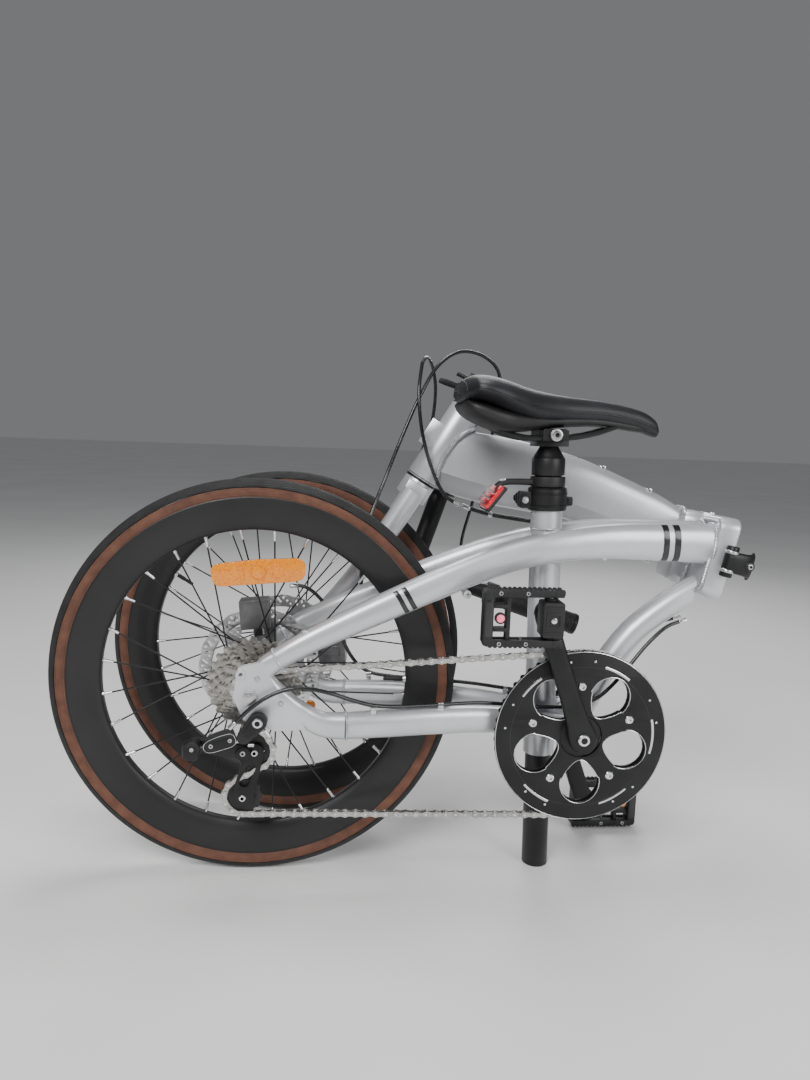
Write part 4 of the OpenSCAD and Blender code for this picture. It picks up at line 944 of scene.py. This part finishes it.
for name in ("seat_tube", "arch_tube_right", "arch_tube_left", "down_tube", "chainstay_right",
             "chainstay_left", "front_tube", "fork_legs"):
    keep(name, SILVER, 0, 30)
keep("head_tube", SILVER, 1.2)
keep("fork_crown", SILVER, 1.2)
keep("hinge_pin", STEEL, .6)

ARCH = smooth([(31, -64, 43.6, 11.5, 13), (62, -63.5, 62, 11.5, 14), (110, -56, 84, 12.5, 16),
               (175, -48, 113, 14, 18), (250, -40, 145, 14, 19), (310, -34, 167, 14, 19.5),
               (362, -34, 180, 14, 20), (430, -29, 188, 14, 22), (500, -20, 188, 15, 24),
               (568, -15.5, 186.5, 15, 26), (592, -15.5, 183.5, 15, 26)], 12)
STAY = smooth([(112, -63, -39, 12, 16), (160, -58, -38, 12.5, 17), (230, -46, -38, 12.5, 17.5),
               (296, -33, -42, 11.5, 17), (350, -28, -49, 11, 16), (396, -26, -55, 11, 15)], 6)


def section(path, i, angle, lift, e=2.4):
    """Point on a swept tube's skin at a row and an angle from its inner side."""
    i = max(0, min(len(path) - 1, i))
    lo, hi = path[max(0, int(i) - 1)], path[min(len(path) - 1, int(i) + 1)]
    f = i - int(i)
    q = path[int(i)] * (1 - f) + path[min(len(path) - 1, int(i) + 1)] * f
    t = (hi - lo)[:3]
    t = t / np.linalg.norm(t)
    s = np.array([0, 1, 0]) - t * t[1]
    s /= np.linalg.norm(s)
    u = np.cross(t, s)
    c, d = cos(angle), sin(angle)
    c, d = math.copysign(abs(c) ** (2 / e), c), math.copysign(abs(d) ** (2 / e), d)
    return q[:3] + s * (q[3] + lift) * c + u * (q[4] + lift) * d


def band(path, i0, i1, a0, a1, slant, lift=.22, mirror=1, e=2.4):
    """Painted band on a tube's skin, between rows and angles; slant moves it along."""
    pts, n, m = [], 5, 26
    for j in range(m):
        a = a0 + (a1 - a0) * j / (m - 1)
        for k in range(n):
            i = i0 + (i1 - i0) * k / (n - 1) + slant * (j / (m - 1) - .5)
            edge = k in (0, n - 1) or j in (0, m - 1)
            q = section(path, i, a, lift if not edge else .02, e)
            pts.append((q[0], q[1] * mirror, q[2]))
    faces = [(j * n + k, j * n + k + 1, (j + 1) * n + k + 1, (j + 1) * n + k)
             for j in range(m - 1) for k in range(n - 1)]
    return np.array(pts), faces, [(q[0] / 100, q[2] / 100) for q in pts]


def bead(line, r, closed=True, pitch=2.6, side=(.2, .9, .3)):
    """Weld bead: overlapping scales along a line."""
    line = np.array(line, float)
    if closed:
        line = np.vstack([line, line[:1]])
    run = np.concatenate([[0], np.cumsum(np.linalg.norm(np.diff(line, axis=0), axis=1))])
    n = max(12, int(run[-1] / pitch * 4))
    spots = np.linspace(0, run[-1], n + (0 if closed else 1), endpoint=not closed)
    pts = np.stack([np.interp(spots, run, line[:, k]) for k in range(3)], 1)
    radius = [r * (.78 + .26 * (i % 4) / 3) for i in range(len(pts))]
    return tube(pts, radius, n=10, side=side, closed=closed)


for s, tag in ((1, "right"), (-1, "left")):
    p = Piece("arch_bands_" + tag)
    for i0 in (96.9, 99.4):
        p.add(band(ARCH, i0, i0 + 1.4, radians(112), radians(252), .6, mirror=s), DECAL)
    for i0 in (35.6, 37.2):
        p.add(band(ARCH, i0, i0 + .9, radians(128), radians(236), .7, mirror=s), DECAL)
    p.done("rear_frame")

p = Piece("frame_welds")
for s in (1, -1):
    ends = [section(ARCH, 110.4, 2 * pi * k / 36, .5) for k in range(36)]
    p.add(bead([(q[0], q[1] * s, q[2]) for q in ends if abs(q[1]) > 2], 2.5, False), WELD)
    ends = [section(ARCH, .2, 2 * pi * k / 30, .1) for k in range(30)]
    p.add(bead([(q[0], q[1] * s, q[2]) for q in ends], 1.7), WELD)
    ends = [section(STAY, .3, 2 * pi * k / 30, .1) for k in range(30)]
    p.add(bead([(q[0], q[1] * s, q[2]) for q in ends], 1.7), WELD)
    # seat tube to arch
    line = []
    for k in range(22):
        x = 345 + 34 * k / 21
        line.append((x, s * (-(20.3 ** 2 - (x - 366) ** 2) ** .5 if abs(x - 366) < 20 else -6),
                     180 + 20.4 - abs(x - 366) * .05))
    p.add(bead(line, 2.0, False), WELD)
    p.add(bead([(x, y, z - 41.2) for x, y, z in line], 2.0, False), WELD)
    # bottom bracket shell rim
    p.add(hoop(20.3, s * 33.4, .9, .7, 64),
          SILVER, shift(BB[0], 0, BB[1]))
ring = []
for k in range(40):
    t = 2 * pi * k / 40
    lean = radians(75) + .85 * sin(t)
    ring.append((BB[0] + 20.3 * cos(lean), 17.4 * cos(t), BB[1] + 20.3 * sin(lean)))
p.add(bead(ring, 2.2), WELD)
p.done("rear_frame")

# fittings on the rear half: bosses, eyelets, cable clips
p = Piece("rear_fittings")
for i, a in ((14, 100), (52, 262), (84, 264)):
    q = section(ARCH, i, radians(a), 0)
    p.add(placed(drum(4.6, -2.6, 1, .8, 1.9, 20), turn(90 if a < 180 else -90, "X")), SILVER, shift(*q))
for x, y, z in ((146, -66, -17), (230, -50.5, -19.5), (330, -33.5, -24.5)):
    for s in (1, -1):
        p.add(placed(lathe([(2.7, -3.5), (3.9, -3.2), (3.9, 3.2), (2.7, 3.5)], 20), turn(90, "Z")),
              BRIGHT,
              shift(x, y * s, z + 1.5))
        p.add(block((x - 3.4, min(y * s - 3, y * s + 3), z - 6),
                    (x + 3.4, max(y * s - 3, y * s + 3), z - .5), .8),
              BRIGHT)
for s in (1, -1):
    p.add(at(lathe([(2.6, -74.6 * s), (5.6, -74.6 * s), (6.4, -73.8 * s), (6.4, -67 * s),
                    (2.6, -67 * s)], 32),
             -11, 0, 27), SILVER)
    for x, z in ((8, 22), (36, -8)):
        p.add(at(placed(bolt(3.4, -75, -70), turn(0 if s > 0 else 180, "Z")), x, 0, z), STEEL)
p.add(drum(5, -6, 6, 1, 2, 24), SILVER, shift(258, -41, 121))
p.add(drum(7, 50, 54, .8, 3, 24), SILVER, shift(240, -9, -36))
p.done("rear_frame")


# ---------- main hinge ----------

def casting(name, place, knuckles, body, node, flip):
    """Rounded casting: plate, knuckles round the pin, rib and welds; flip mirrors X."""
    m = place @ (Matrix.Scale(-1, 4, (1, 0, 0)) if flip else Matrix.Identity(4))
    p = Piece(name, m)
    outline = rounded(-35, -54, 33, 54, 15, 8)
    rows = []
    depths = [(-25.8, .80), (-24.6, .86), (-20, .92), (-12, .97), (-5, 1.0), (-2.0, 1.0), (-.8, .985),
              (-.3, .96)]
    for x, f in depths:
        rows.append([(x, -1 + (y + 1) * f, z * (f * .5 + .5)) for y, z in outline])
    k = len(outline)
    faces = [(i * k + j, (i + 1) * k + j, (i + 1) * k + (j + 1) % k, i * k + (j + 1) % k)
             for i in range(len(rows) - 1) for j in range(k)]
    faces += [tuple(range(k)), tuple((len(rows) - 1) * k + j for j in range(k))]
    pts = np.array(rows).reshape(-1, 3)
    p.add((pts, faces, [(q[1] / 100, q[2] / 100) for q in pts]), SILVER)
    for z in knuckles:
        p.add(placed(drum(11, -11, 11, 1.2, 5.02, 40), shift(0, 52, z) @ turn(90, "X")), SILVER)
        web = [(-22, 30), (-6, 30), (-4, 40), (-3, 48), (-7, 58), (-14, 56), (-22, 42)]
        p.add(placed(slab([web], -10.8, 10.8, 1.5), shift(0, 0, z) @ turn(-90, "X")), SILVER)
    rim = [(-1.6, y * 1.0, z) for y, z in rounded(-33.6, -52.6, 31.6, 52.6, 14, 8)]
    p.add(tube(rim, .9, n=8, side=(1, 0, 0), closed=True), WELD)
    back = [(-25.2, -1 + (y + 1) * .72, z * .84) for y, z in outline]
    if flip:
        back = [(-25.6, y * .70, 18 + z * .64) for y, z in rounded(-32, -54, 32, 54, 16, 8)]
    p.add(bead(back, 3.4, side=(1, 0, 0), pitch=3.4), WELD)
    p.done(body, (node,))


casting("hinge_half_rear", HINGE, (-43, 43), "rear_frame", "hinge_casting_rear", False)
casting("hinge_half_front", FRONT, (0,), "front_frame", "hinge_casting_front", True)

p = Piece("hinge_latch", HINGE @ shift(-10, -46, 0))
p.add(placed(drum(7.8, -20, 20, 1.6, 0, 32), turn(90, "X")), ALLOY_BLACK)
lever = smooth([(-4, -1, 0, 7, 12), (8, -3.2, 0, 5.6, 13.5), (20, -2.5, 0, 5, 14),
                (28, 1, 0, 4.5, 15.5),
                (30, 3.6, 0, 3.0, 18)], 5)
p.add(tube(lever, lever[:, 3], lever[:, 4], n=28, side=(.2, 1, 0), e=3.2), ALLOY_BLACK)
for z in (-12, 12):
    p.add(placed(lathe([(8.0, -2), (8.7, -1.2), (8.7, 1.2), (8.0, 2)], 32),
                 shift(0, 0, z) @ turn(90, "X")), STEEL)
p.add(placed(drum(6.2, -3.2, 4.5, 1.4, 0, 28), shift(24, -5.6, 0)), PLASTIC)
p.add(placed(bolt(3.6, -1.5, 2), shift(24, -9.0, 0)), STEEL)
p.done("main_latch", ("main_latch",), angle=50)

# ---------- seat ----------

keep("seatpost", ALLOY_BLACK, .9)
keep("saddle_rails", ALLOY_BLACK, 0, 40)
TOP = 247

p = Piece("seat_collar", SEAT)
p.add(placed(lathe([(17.3, -TOP - 6), (22, -TOP - 6), (24.6, -TOP - 4), (25, -TOP + 2), (25, -TOP + 18),
                    (24, -TOP + 23), (20.2, -TOP + 24), (20.2, -TOP), (17.3, -TOP)], 72), turn(-90,
                                                                                               "X")), ALLOY_BLACK)
for z in (TOP - 17, TOP - 2):
    p.add(placed(lathe([(25.0, z - 1.2), (25.8, z - .6), (25.8, z + .6), (25.0, z + 1.2)], 72),
                 turn(90, "X")),
          ALLOY_BLACK)
for y in (-6, 6):
    p.add(at(block((-37, -4, -10.5), (-19, 4, 10.5), 1.8), 0, y, TOP - 10), ALLOY_BLACK)
p.add(at(drum(2.4, -15, 15, .4), -31, 0, TOP - 10), STEEL)
p.add(at(bolt(4.6, -3, 2), -31, -11, TOP - 10), STEEL)
p.add(at(block((21, -7, -8), (32, 7, 4), 2), 0, 0, TOP - 10), ALLOY_BLACK)
p.done("rear_frame", ("seat_clamp",))

p = Piece("collar_lever", SEAT @ shift(-31, 17, TOP - 10))
p.add(placed(drum(6, -7, 7, 1, 0, 28), turn(90, "X")), ALLOY_BLACK)
arm = smooth([(-3, 5, 0, 5, 4.6), (2, 10.2, 0, 3, 5), (18, 11.6, 0, 2.2, 4.8), (40, 11.6, 0, 1.8, 4.6),
              (54, 11.2, 0, 1.6, 4.8), (58, 11.2, 0, 1.2, 3.6)], 5)
p.add(tube(arm, arm[:, 3], arm[:, 4], n=20, side=(.05, 1, 0), e=3), ALLOY_BLACK)
p.add(at(drum(3, 11, 13.4, .5), 0, 0, 0), STEEL)
p.done("seat_clamp_lever", ("seat_clamp_lever",), angle=50)

p = Piece("post_head", SEAT)
for x in (-13, 13):
    p.add(placed(drum(3.2, -34, -4, .6), shift(x, 0, 288) @ turn(90, "X")), STEEL)
    p.add(placed(bolt(5.2, -40, -33), shift(x, 0, 288) @ turn(90, "X")), STEEL)
for s in (-1, 1):
    p.add(at(drum(7.6, -2.2, 2.2, .9), 0, s * 31.5, 318), STEEL)
    p.add(at(placed(bolt(5.4, -2, 2), turn(0 if s < 0 else 180, "Z")), 0, s * 34.0, 318), BRIGHT)
    p.add(at(block((-15, -4, -5), (15, 4, 4.8), 1.4), 0, s * 24, 321), ALLOY_BLACK)
p.add(placed(lathe([(16.96, -.25), (17.06, 0), (16.96, .25)], 48), shift(0, 0, 262) @ turn(90, "X")),
      STEEL)
p.done("seatpost")

p = Piece("rear_light_bracket", SEAT)
p.add(placed(lathe([(17.1, -(TOP + 19)), (21.6, -(TOP + 19)), (22, -(TOP + 17)), (22, -(TOP + 9)),
                    (21.6, -(TOP + 7)), (17.1, -(TOP + 7))], 48), turn(-90, "X")), PLASTIC)
stem = smooth([(-20, 0, 259, 7, 4.5), (-40, 0, 259.5, 6, 4.2), (-58, 0, 258, 6, 4),
               (-68, 0, 250, 8, 4)], 5)
p.add(tube(stem, stem[:, 3], stem[:, 4], n=20, side=(0, 1, 0), e=3), PLASTIC)
lamp = shift(-86, 0, TOP - 20) @ turn(38, "Y")
p.add(at(block((0, -24, 0), (4.6, 24, 38), 1.8), 4.2, 0, 0), PLASTIC, lamp)
face = placed(slab([rounded(-22.6, 1.4, 22.6, 36.6, 4)], -3.2, 2.2, 1.2), turn(90, "Z"))
p.add(at(face, 2.4, 0, 0), RED, lamp)
for z in (10, 19, 28):
    p.add(placed(block((-20, -3.4, z - 3.4), (20, -2.9, z + 3.4), .2), turn(90, "Z")), RED,
          lamp @ shift(-1.3, 0, 0) @ turn(180, "Z"))
p.add(drum(4.4, -5, 4, .8), STEEL, shift(-58, 0, TOP + 12))
p.done("seatpost", ("rear_reflector",))

# saddle: rows are x, height of the middle, half width, half height
SADDLE = [(-119, 367, .10, 2), (-118.4, 367, .34, 7), (-116.6, 367.5, .55, 11),
          (-113, 368.5, .74, 14.4),
          (-108, 370, .88, 16.8), (-101, 371, .97, 18.2),
          (-85, 368, 1, 21), (-62, 361, .92, 23), (-36, 354, .72, 22), (-14, 350, .55, 21), (20, 348,
                                                                                             .36, 18),
          (64, 346, .26, 15), (100, 340, .23, 14), (120, 334, .21, 14), (133, 328, .17, 12), (137.5,
                                                                                              325, .13, 9),
          (139, 324, .08, 5)]
rows = smooth([(x, z, w * 75, h) for x, z, w, h in SADDLE], 6)
LOOP = 56


def saddle_point(row, angle, lift=0.0):
    x, z, w, h = row
    c, s = cos(angle), sin(angle)
    c2, s2 = math.copysign(abs(c) ** (2 / 2.35), c), math.copysign(abs(s) ** (2 / 2.25), s)
    rear = max(0.0, min(1.0, (-30 - x) / 60))
    y = (w + lift) * c2 * (1 if s > -.15 else 1 - .16 * rear * min(1, (-s - .15) * 1.6))
    zz = z + (h + lift) * s2 * (1 if s > 0 else .9)
    if s > .55:
        zz -= 2.6 * rear * max(0, 1 - abs(y) / 13) * (s - .55) * 2
        zz -= 1.6 * (1 - rear) * max(0, 1 - abs(y) / 9) * (s - .55) * 2 * (1 if -30 < x < 70 else .3)
    return x, y, zz


pts, uv = [], []
for i, row in enumerate(rows):
    for j in range(LOOP):
        pts.append(saddle_point(row, 2 * pi * j / LOOP))
        uv.append((row[0] / 100, j / LOOP))
faces = [(i * LOOP + j, (i + 1) * LOOP + j, (i + 1) * LOOP + (j + 1) % LOOP, i * LOOP + (j + 1) % LOOP)
         for i in range(len(rows) - 1) for j in range(LOOP)]
faces += [tuple(range(LOOP)), tuple((len(rows) - 1) * LOOP + j for j in range(LOOP))]
p = Piece("saddle_cushion", SEAT)
p.add((np.array(pts), faces, uv), LEATHER)
cushion = p.done("seatpost", ("saddle_cover",), angle=60, sub=1)

p = Piece("saddle_base", SEAT)
base = smooth([(-113, 0, 357, 44, 6), (-104, 0, 350, 55, 11), (-84, 0, 342, 58, 14),
               (-62, 0, 336, 54, 15),
               (-40, 0, 334, 44, 13), (-18, 0, 334, 34, 10), (10, 0, 335, 24, 8), (60, 0, 335, 16, 6),
               (110, 0, 328, 13, 5), (124, 0, 325, 9, 3)], 5)
p.add(tube(base, base[:, 3], base[:, 4], n=40, side=(0, 1, 0), e=2.6), PLASTIC)
p.done("seatpost", angle=60)

p = Piece("saddle_seams", SEAT)
for s in (1, -1):
    line = [saddle_point(r, (pi / 2 - s * (pi / 2 + .10)) if s > 0 else pi + .10,
                         .15) for r in rows[2:-4]]
    line = [(x, abs(y) * s, z) for x, y, z in line]
    p.add(tube(line, .75, n=8, side=(0, 1, .2)), LEATHER)
    for k in range(2, len(line) - 2):
        a, b = np.array(line[k]), np.array(line[k + 1])
        for f in (.25, .75):
            q = a + (b - a) * f
            p.add(tube([q + (b - a) * .04 + (0, 0, 2.1), q + (b - a) * .3 + (0, 0, 2.1)], .32, n=6,
                       side=(0, 1, .2)), DECAL)
back = []
for k in range(40):
    t = pi * k / 39
    back.append(saddle_point(rows[16], t, .1))
p.add(tube(back, .7, n=8, side=(1, 0, 0)), LEATHER)
p.add(tube([saddle_point(rows[3], a, .25) for a in np.linspace(-.5, pi + .5, 50)], 1.1, n=8,
           side=(1, 0, 0)),
      LEATHER)
p.done("seatpost")

# ---------- front half ----------

keep("post_base", ALLOY_BLACK, .8)
keep("handlepost", ALLOY_BLACK, .6)
keep("handlebar", ALLOY_BLACK, .5)
keep("bar_controls", PLASTIC, 1.2)
keep("brake_lever_right", ALLOY_BLACK, 1.4)
keep("brake_lever_left", ALLOY_BLACK, 1.4)
keep("front_caliper", PEWTER, 1.4)
keep("rear_caliper", PEWTER, 1.4)

p = Piece("headset_rings", STEER)
for z, r, t in ((-1.2, 23.4, 4), (119, 22.6, 3), (122.4, 22.2, 2.4), (2.4, 23.3, 1.6)):
    p.add(placed(lathe([(14.6, -t / 2), (r - .6, -t / 2), (r, -t / 2 + .6), (r, t / 2 - .6),
                        (r - .6, t / 2),
                        (14.6, t / 2)], 64), shift(0, 0, z) @ turn(90, "X")), ALLOY_BLACK)
p.add(placed(drum(9, -2, 0, .6), shift(0, 0, 162.6) @ turn(90, "X")), ALLOY_BLACK)
p.done("fork")

p = Piece("head_welds", STEER)
weld_line = []
for k in range(72):
    c, d = cos(2 * pi * k / 72), sin(2 * pi * k / 72)
    y = 23.6 * math.copysign(abs(c) ** .67, c)
    weld_line.append((-(25.4 ** 2 - y * y) ** .5, y, 54 + 47.5 * math.copysign(abs(d) ** .67, d)))
p.add(bead(weld_line, 3.4, side=(1, 0, 0), pitch=3.4), WELD)
for z in (46, 80):
    p.add(block((22, -14, z - .6), (33.4, 14, z + .6), .2), WELD)
p.done("front_frame")

p = Piece("front_fittings", FRONT)
for x in (78, 150):
    for y in (-11, 11):
        z = 25 + (x - 60) * .133 + 36.4 + (x - 60) * .07
        p.add(placed(drum(3.4, -3.2, 4, .7, 1.6, 20), shift(x, y, z) @ turn(-90, "X")), BRIGHT)
for x in (96, 196, 290):
    for s, f in ((1, 1), (-1, .6)):
        y = s * f * np.interp(x, [50, 90, 140, 190, 240, 290, 330], [12, 13, 14, 15, 16, 18, 20])
        z = np.interp(x, [50, 90, 140, 190, 240, 290, 330], [-32, -26, -20, -16, -20, -24, -22])
        p.add(placed(lathe([(2.65, -3.2), (3.8, -2.8), (3.8, 2.8), (2.65, 3.2)], 20),
                     shift(x, y, z) @ turn(90, "Z")),
              BRIGHT)
p.done("front_frame")

p = Piece("post_lever", POST @ shift(0, 32, POST_Z + 6))
p.add(placed(drum(8, -6, 6, 1.2, 0, 36), shift(-28, 0, 0) @ turn(90, "X")), ALLOY_BLACK)
p.add(placed(bolt(4.6, -6.8, -4), shift(-28, 0, 0) @ turn(90, "X")), BRIGHT)
p.add(placed(bolt(4.6, -6.8, -4), shift(-28, 0, 0) @ turn(-90, "X")), BRIGHT)
arm = smooth([(-24, -.5, 0, 3.3, 5.2), (0, -.5, 0, 3.2, 5), (30, -.6, 0, 2.9, 4.9),
              (52, -.4, 0, 2.6, 5),
              (61.8, -.2, 0, 2, 4)], 5)
p.add(tube(arm, arm[:, 3], arm[:, 4], n=24, side=(0, 1, 0), e=3.4), ALLOY_BLACK)
p.done("post_latch", ("post_latch",), angle=50)

p = Piece("bar_grips", BAR)
for s in (-1, 1):
    prof = []
    for k in range(31):
        y = 149 + k * 4
        prof += [(16.05, s * y), (16.35, s * (y + .8)), (16.35, s * (y + 2.4)), (16.05, s * (y + 3.2))]
    p.add(lathe(prof, 40, False), PLASTIC)
    p.add(lathe([(13, s * 271.6), (15.4, s * 271.9), (16.6, s * 270.6), (16.9, s * 268),
                 (16.9, s * 266), (16, s * 265.5)],
                40, False), ALLOY_BLACK)
    p.add(lathe([(12.7, s * 147.2), (16.8, s * 147.4), (17.0, s * 149), (17.0, s * 153),
                 (16.6, s * 154), (12.7, s * 154)], 40,
                False), ALLOY_BLACK)
p.done("handlebar")

# ---------- cable housings, split where a joint bends them ----------

SHIFT_ROUTE = [(556, -8, 84), (530, -12, 76), (504, -16, 54), (480, -20, 26), (458, -22, 0),
               (436, -24, -18),
               (404, -28, -26), (366, -30, -27), (330, -33, -23), (280, -40, -18), (230, -50, -17),
               (180, -60, -16), (146, -68, -12), (118, -76, -2), (92, -81, 8), (62, -83, 14), (34, -84,
                                                                                               10),
               (6, -85.5, -6), (-22, -84, -34)]
BRAKE_ROUTE = [(556, 8, 84), (530, 12, 76), (504, 16, 54), (480, 20, 26), (458, 22, 0), (436, 24, -18),
               (404, 28, -26), (366, 30, -27), (330, 33, -23), (280, 40, -18), (230, 50, -17), (180, 60,
                                                                                                -16),
               (146, 68, -12), (124, 78, 4), (104, 82, 40), (84, 76, 80), (60, 68, 104), (38, 60, 108)]
TUBE_ROUTE = [(330, 20, -22), (290, 18, -24), (240, 16, -20), (190, 15, -16), (140, 14, -20),
              (90, 13, -26),
              (50, 12, -32)]
BAR_A = [(464, -113, -113), (444, -114, -90), (426, -112, -50), (410, -104, 10), (402, -86, 80),
         (408, -62, 130), (420, -40, 160), (432, -12, 170), (436, 14, 158), (430, 34, 116), (412, 40,
                                                                                             64),
         (386, 36, 18), (360, 27, -12), (336, 21, -21)]
BAR_B = [(259, -110, -147), (288, -114, -134), (308, -113, -90), (308, -110, -20), (306, -102, 60),
         (309, -86, 134), (322, -68, 180), (352, -44, 196), (388, -16, 190), (414, 8, 160), (428, 28,
                                                                                             110),
         (438, 42, 50), (446, 50, -10), (452, 70, -60), (452, 78, -110), (430, 76, -200)]


def housing(piece, route, side=(.3, 1, .2)):
    line = smooth(route, 6)
    piece.add(tube(line, 2.5, n=16, side=side), HOUSING)
    for a, b in ((line[0], line[2]), (line[-1], line[-3])):
        d = (b - a) / np.linalg.norm(b - a)
        piece.add(tube([a - d * .2, a + d * 9, a + d * 10], [3.1, 3.1, 2.6], n=16, side=side), BRIGHT)


p = Piece("rear_housings")
housing(p, SHIFT_ROUTE)
housing(p, BRAKE_ROUTE)
p.done("rear_frame", ("rear_cables",))
p = Piece("front_housings", FRONT)
housing(p, TUBE_ROUTE)
housing(p, [(x, -.6 * y, z) for x, y, z in TUBE_ROUTE])
p.done("front_frame", ("front_cables",))


def flexible(name, route, ends, whole=()):
    """Length of housing that spans two jointed bodies, baked in place and attached to neither; ends are ferrules.
    """
    p = Piece(name, FRONT)
    line = smooth(route, 6)
    p.add(tube(line, 2.5, n=16, side=(1, .3, .2)), HOUSING)
    for k in ends:
        q, r = (line[0], line[2]) if k == 0 else (line[-1], line[-3])
        d = (r - q) / np.linalg.norm(r - q)
        p.add(tube([q - d * .2, q + d * 9, q + d * 10], [3.1, 3.1, 2.6], n=16, side=(1, .3, .2)),
              BRIGHT)
    ob = p.done(None, whole)
    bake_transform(ob)


flexible("shift_housing_bar", BAR_A[:4], (0,), ("bar_cables",))
flexible("shift_housing_post", BAR_A[3:9], ())
flexible("shift_housing_head", BAR_A[8:], (1,))
flexible("brake_housing_bar", BAR_B[:5], (0,))
flexible("brake_housing_post", BAR_B[4:], (1,))

# ---------- floor ----------

floor = bpy.data.meshes.new("floor")
floor.from_pydata([(-30, -30, -.0005), (30, -30, -.0005), (30, 30, -.0005), (-30, 30, -.0005)], [],
                  [(0, 1, 2, 3)])
ground = bpy.data.objects.new("floor", floor)
bpy.context.scene.collection.objects.link(ground)
FLOOR = material("floor_paper", (.80, .80, .79), (.86, .86, .85), (.6, .75), 0, 1.5, 60, .0002, .1)
floor.materials.append(FLOOR.m)
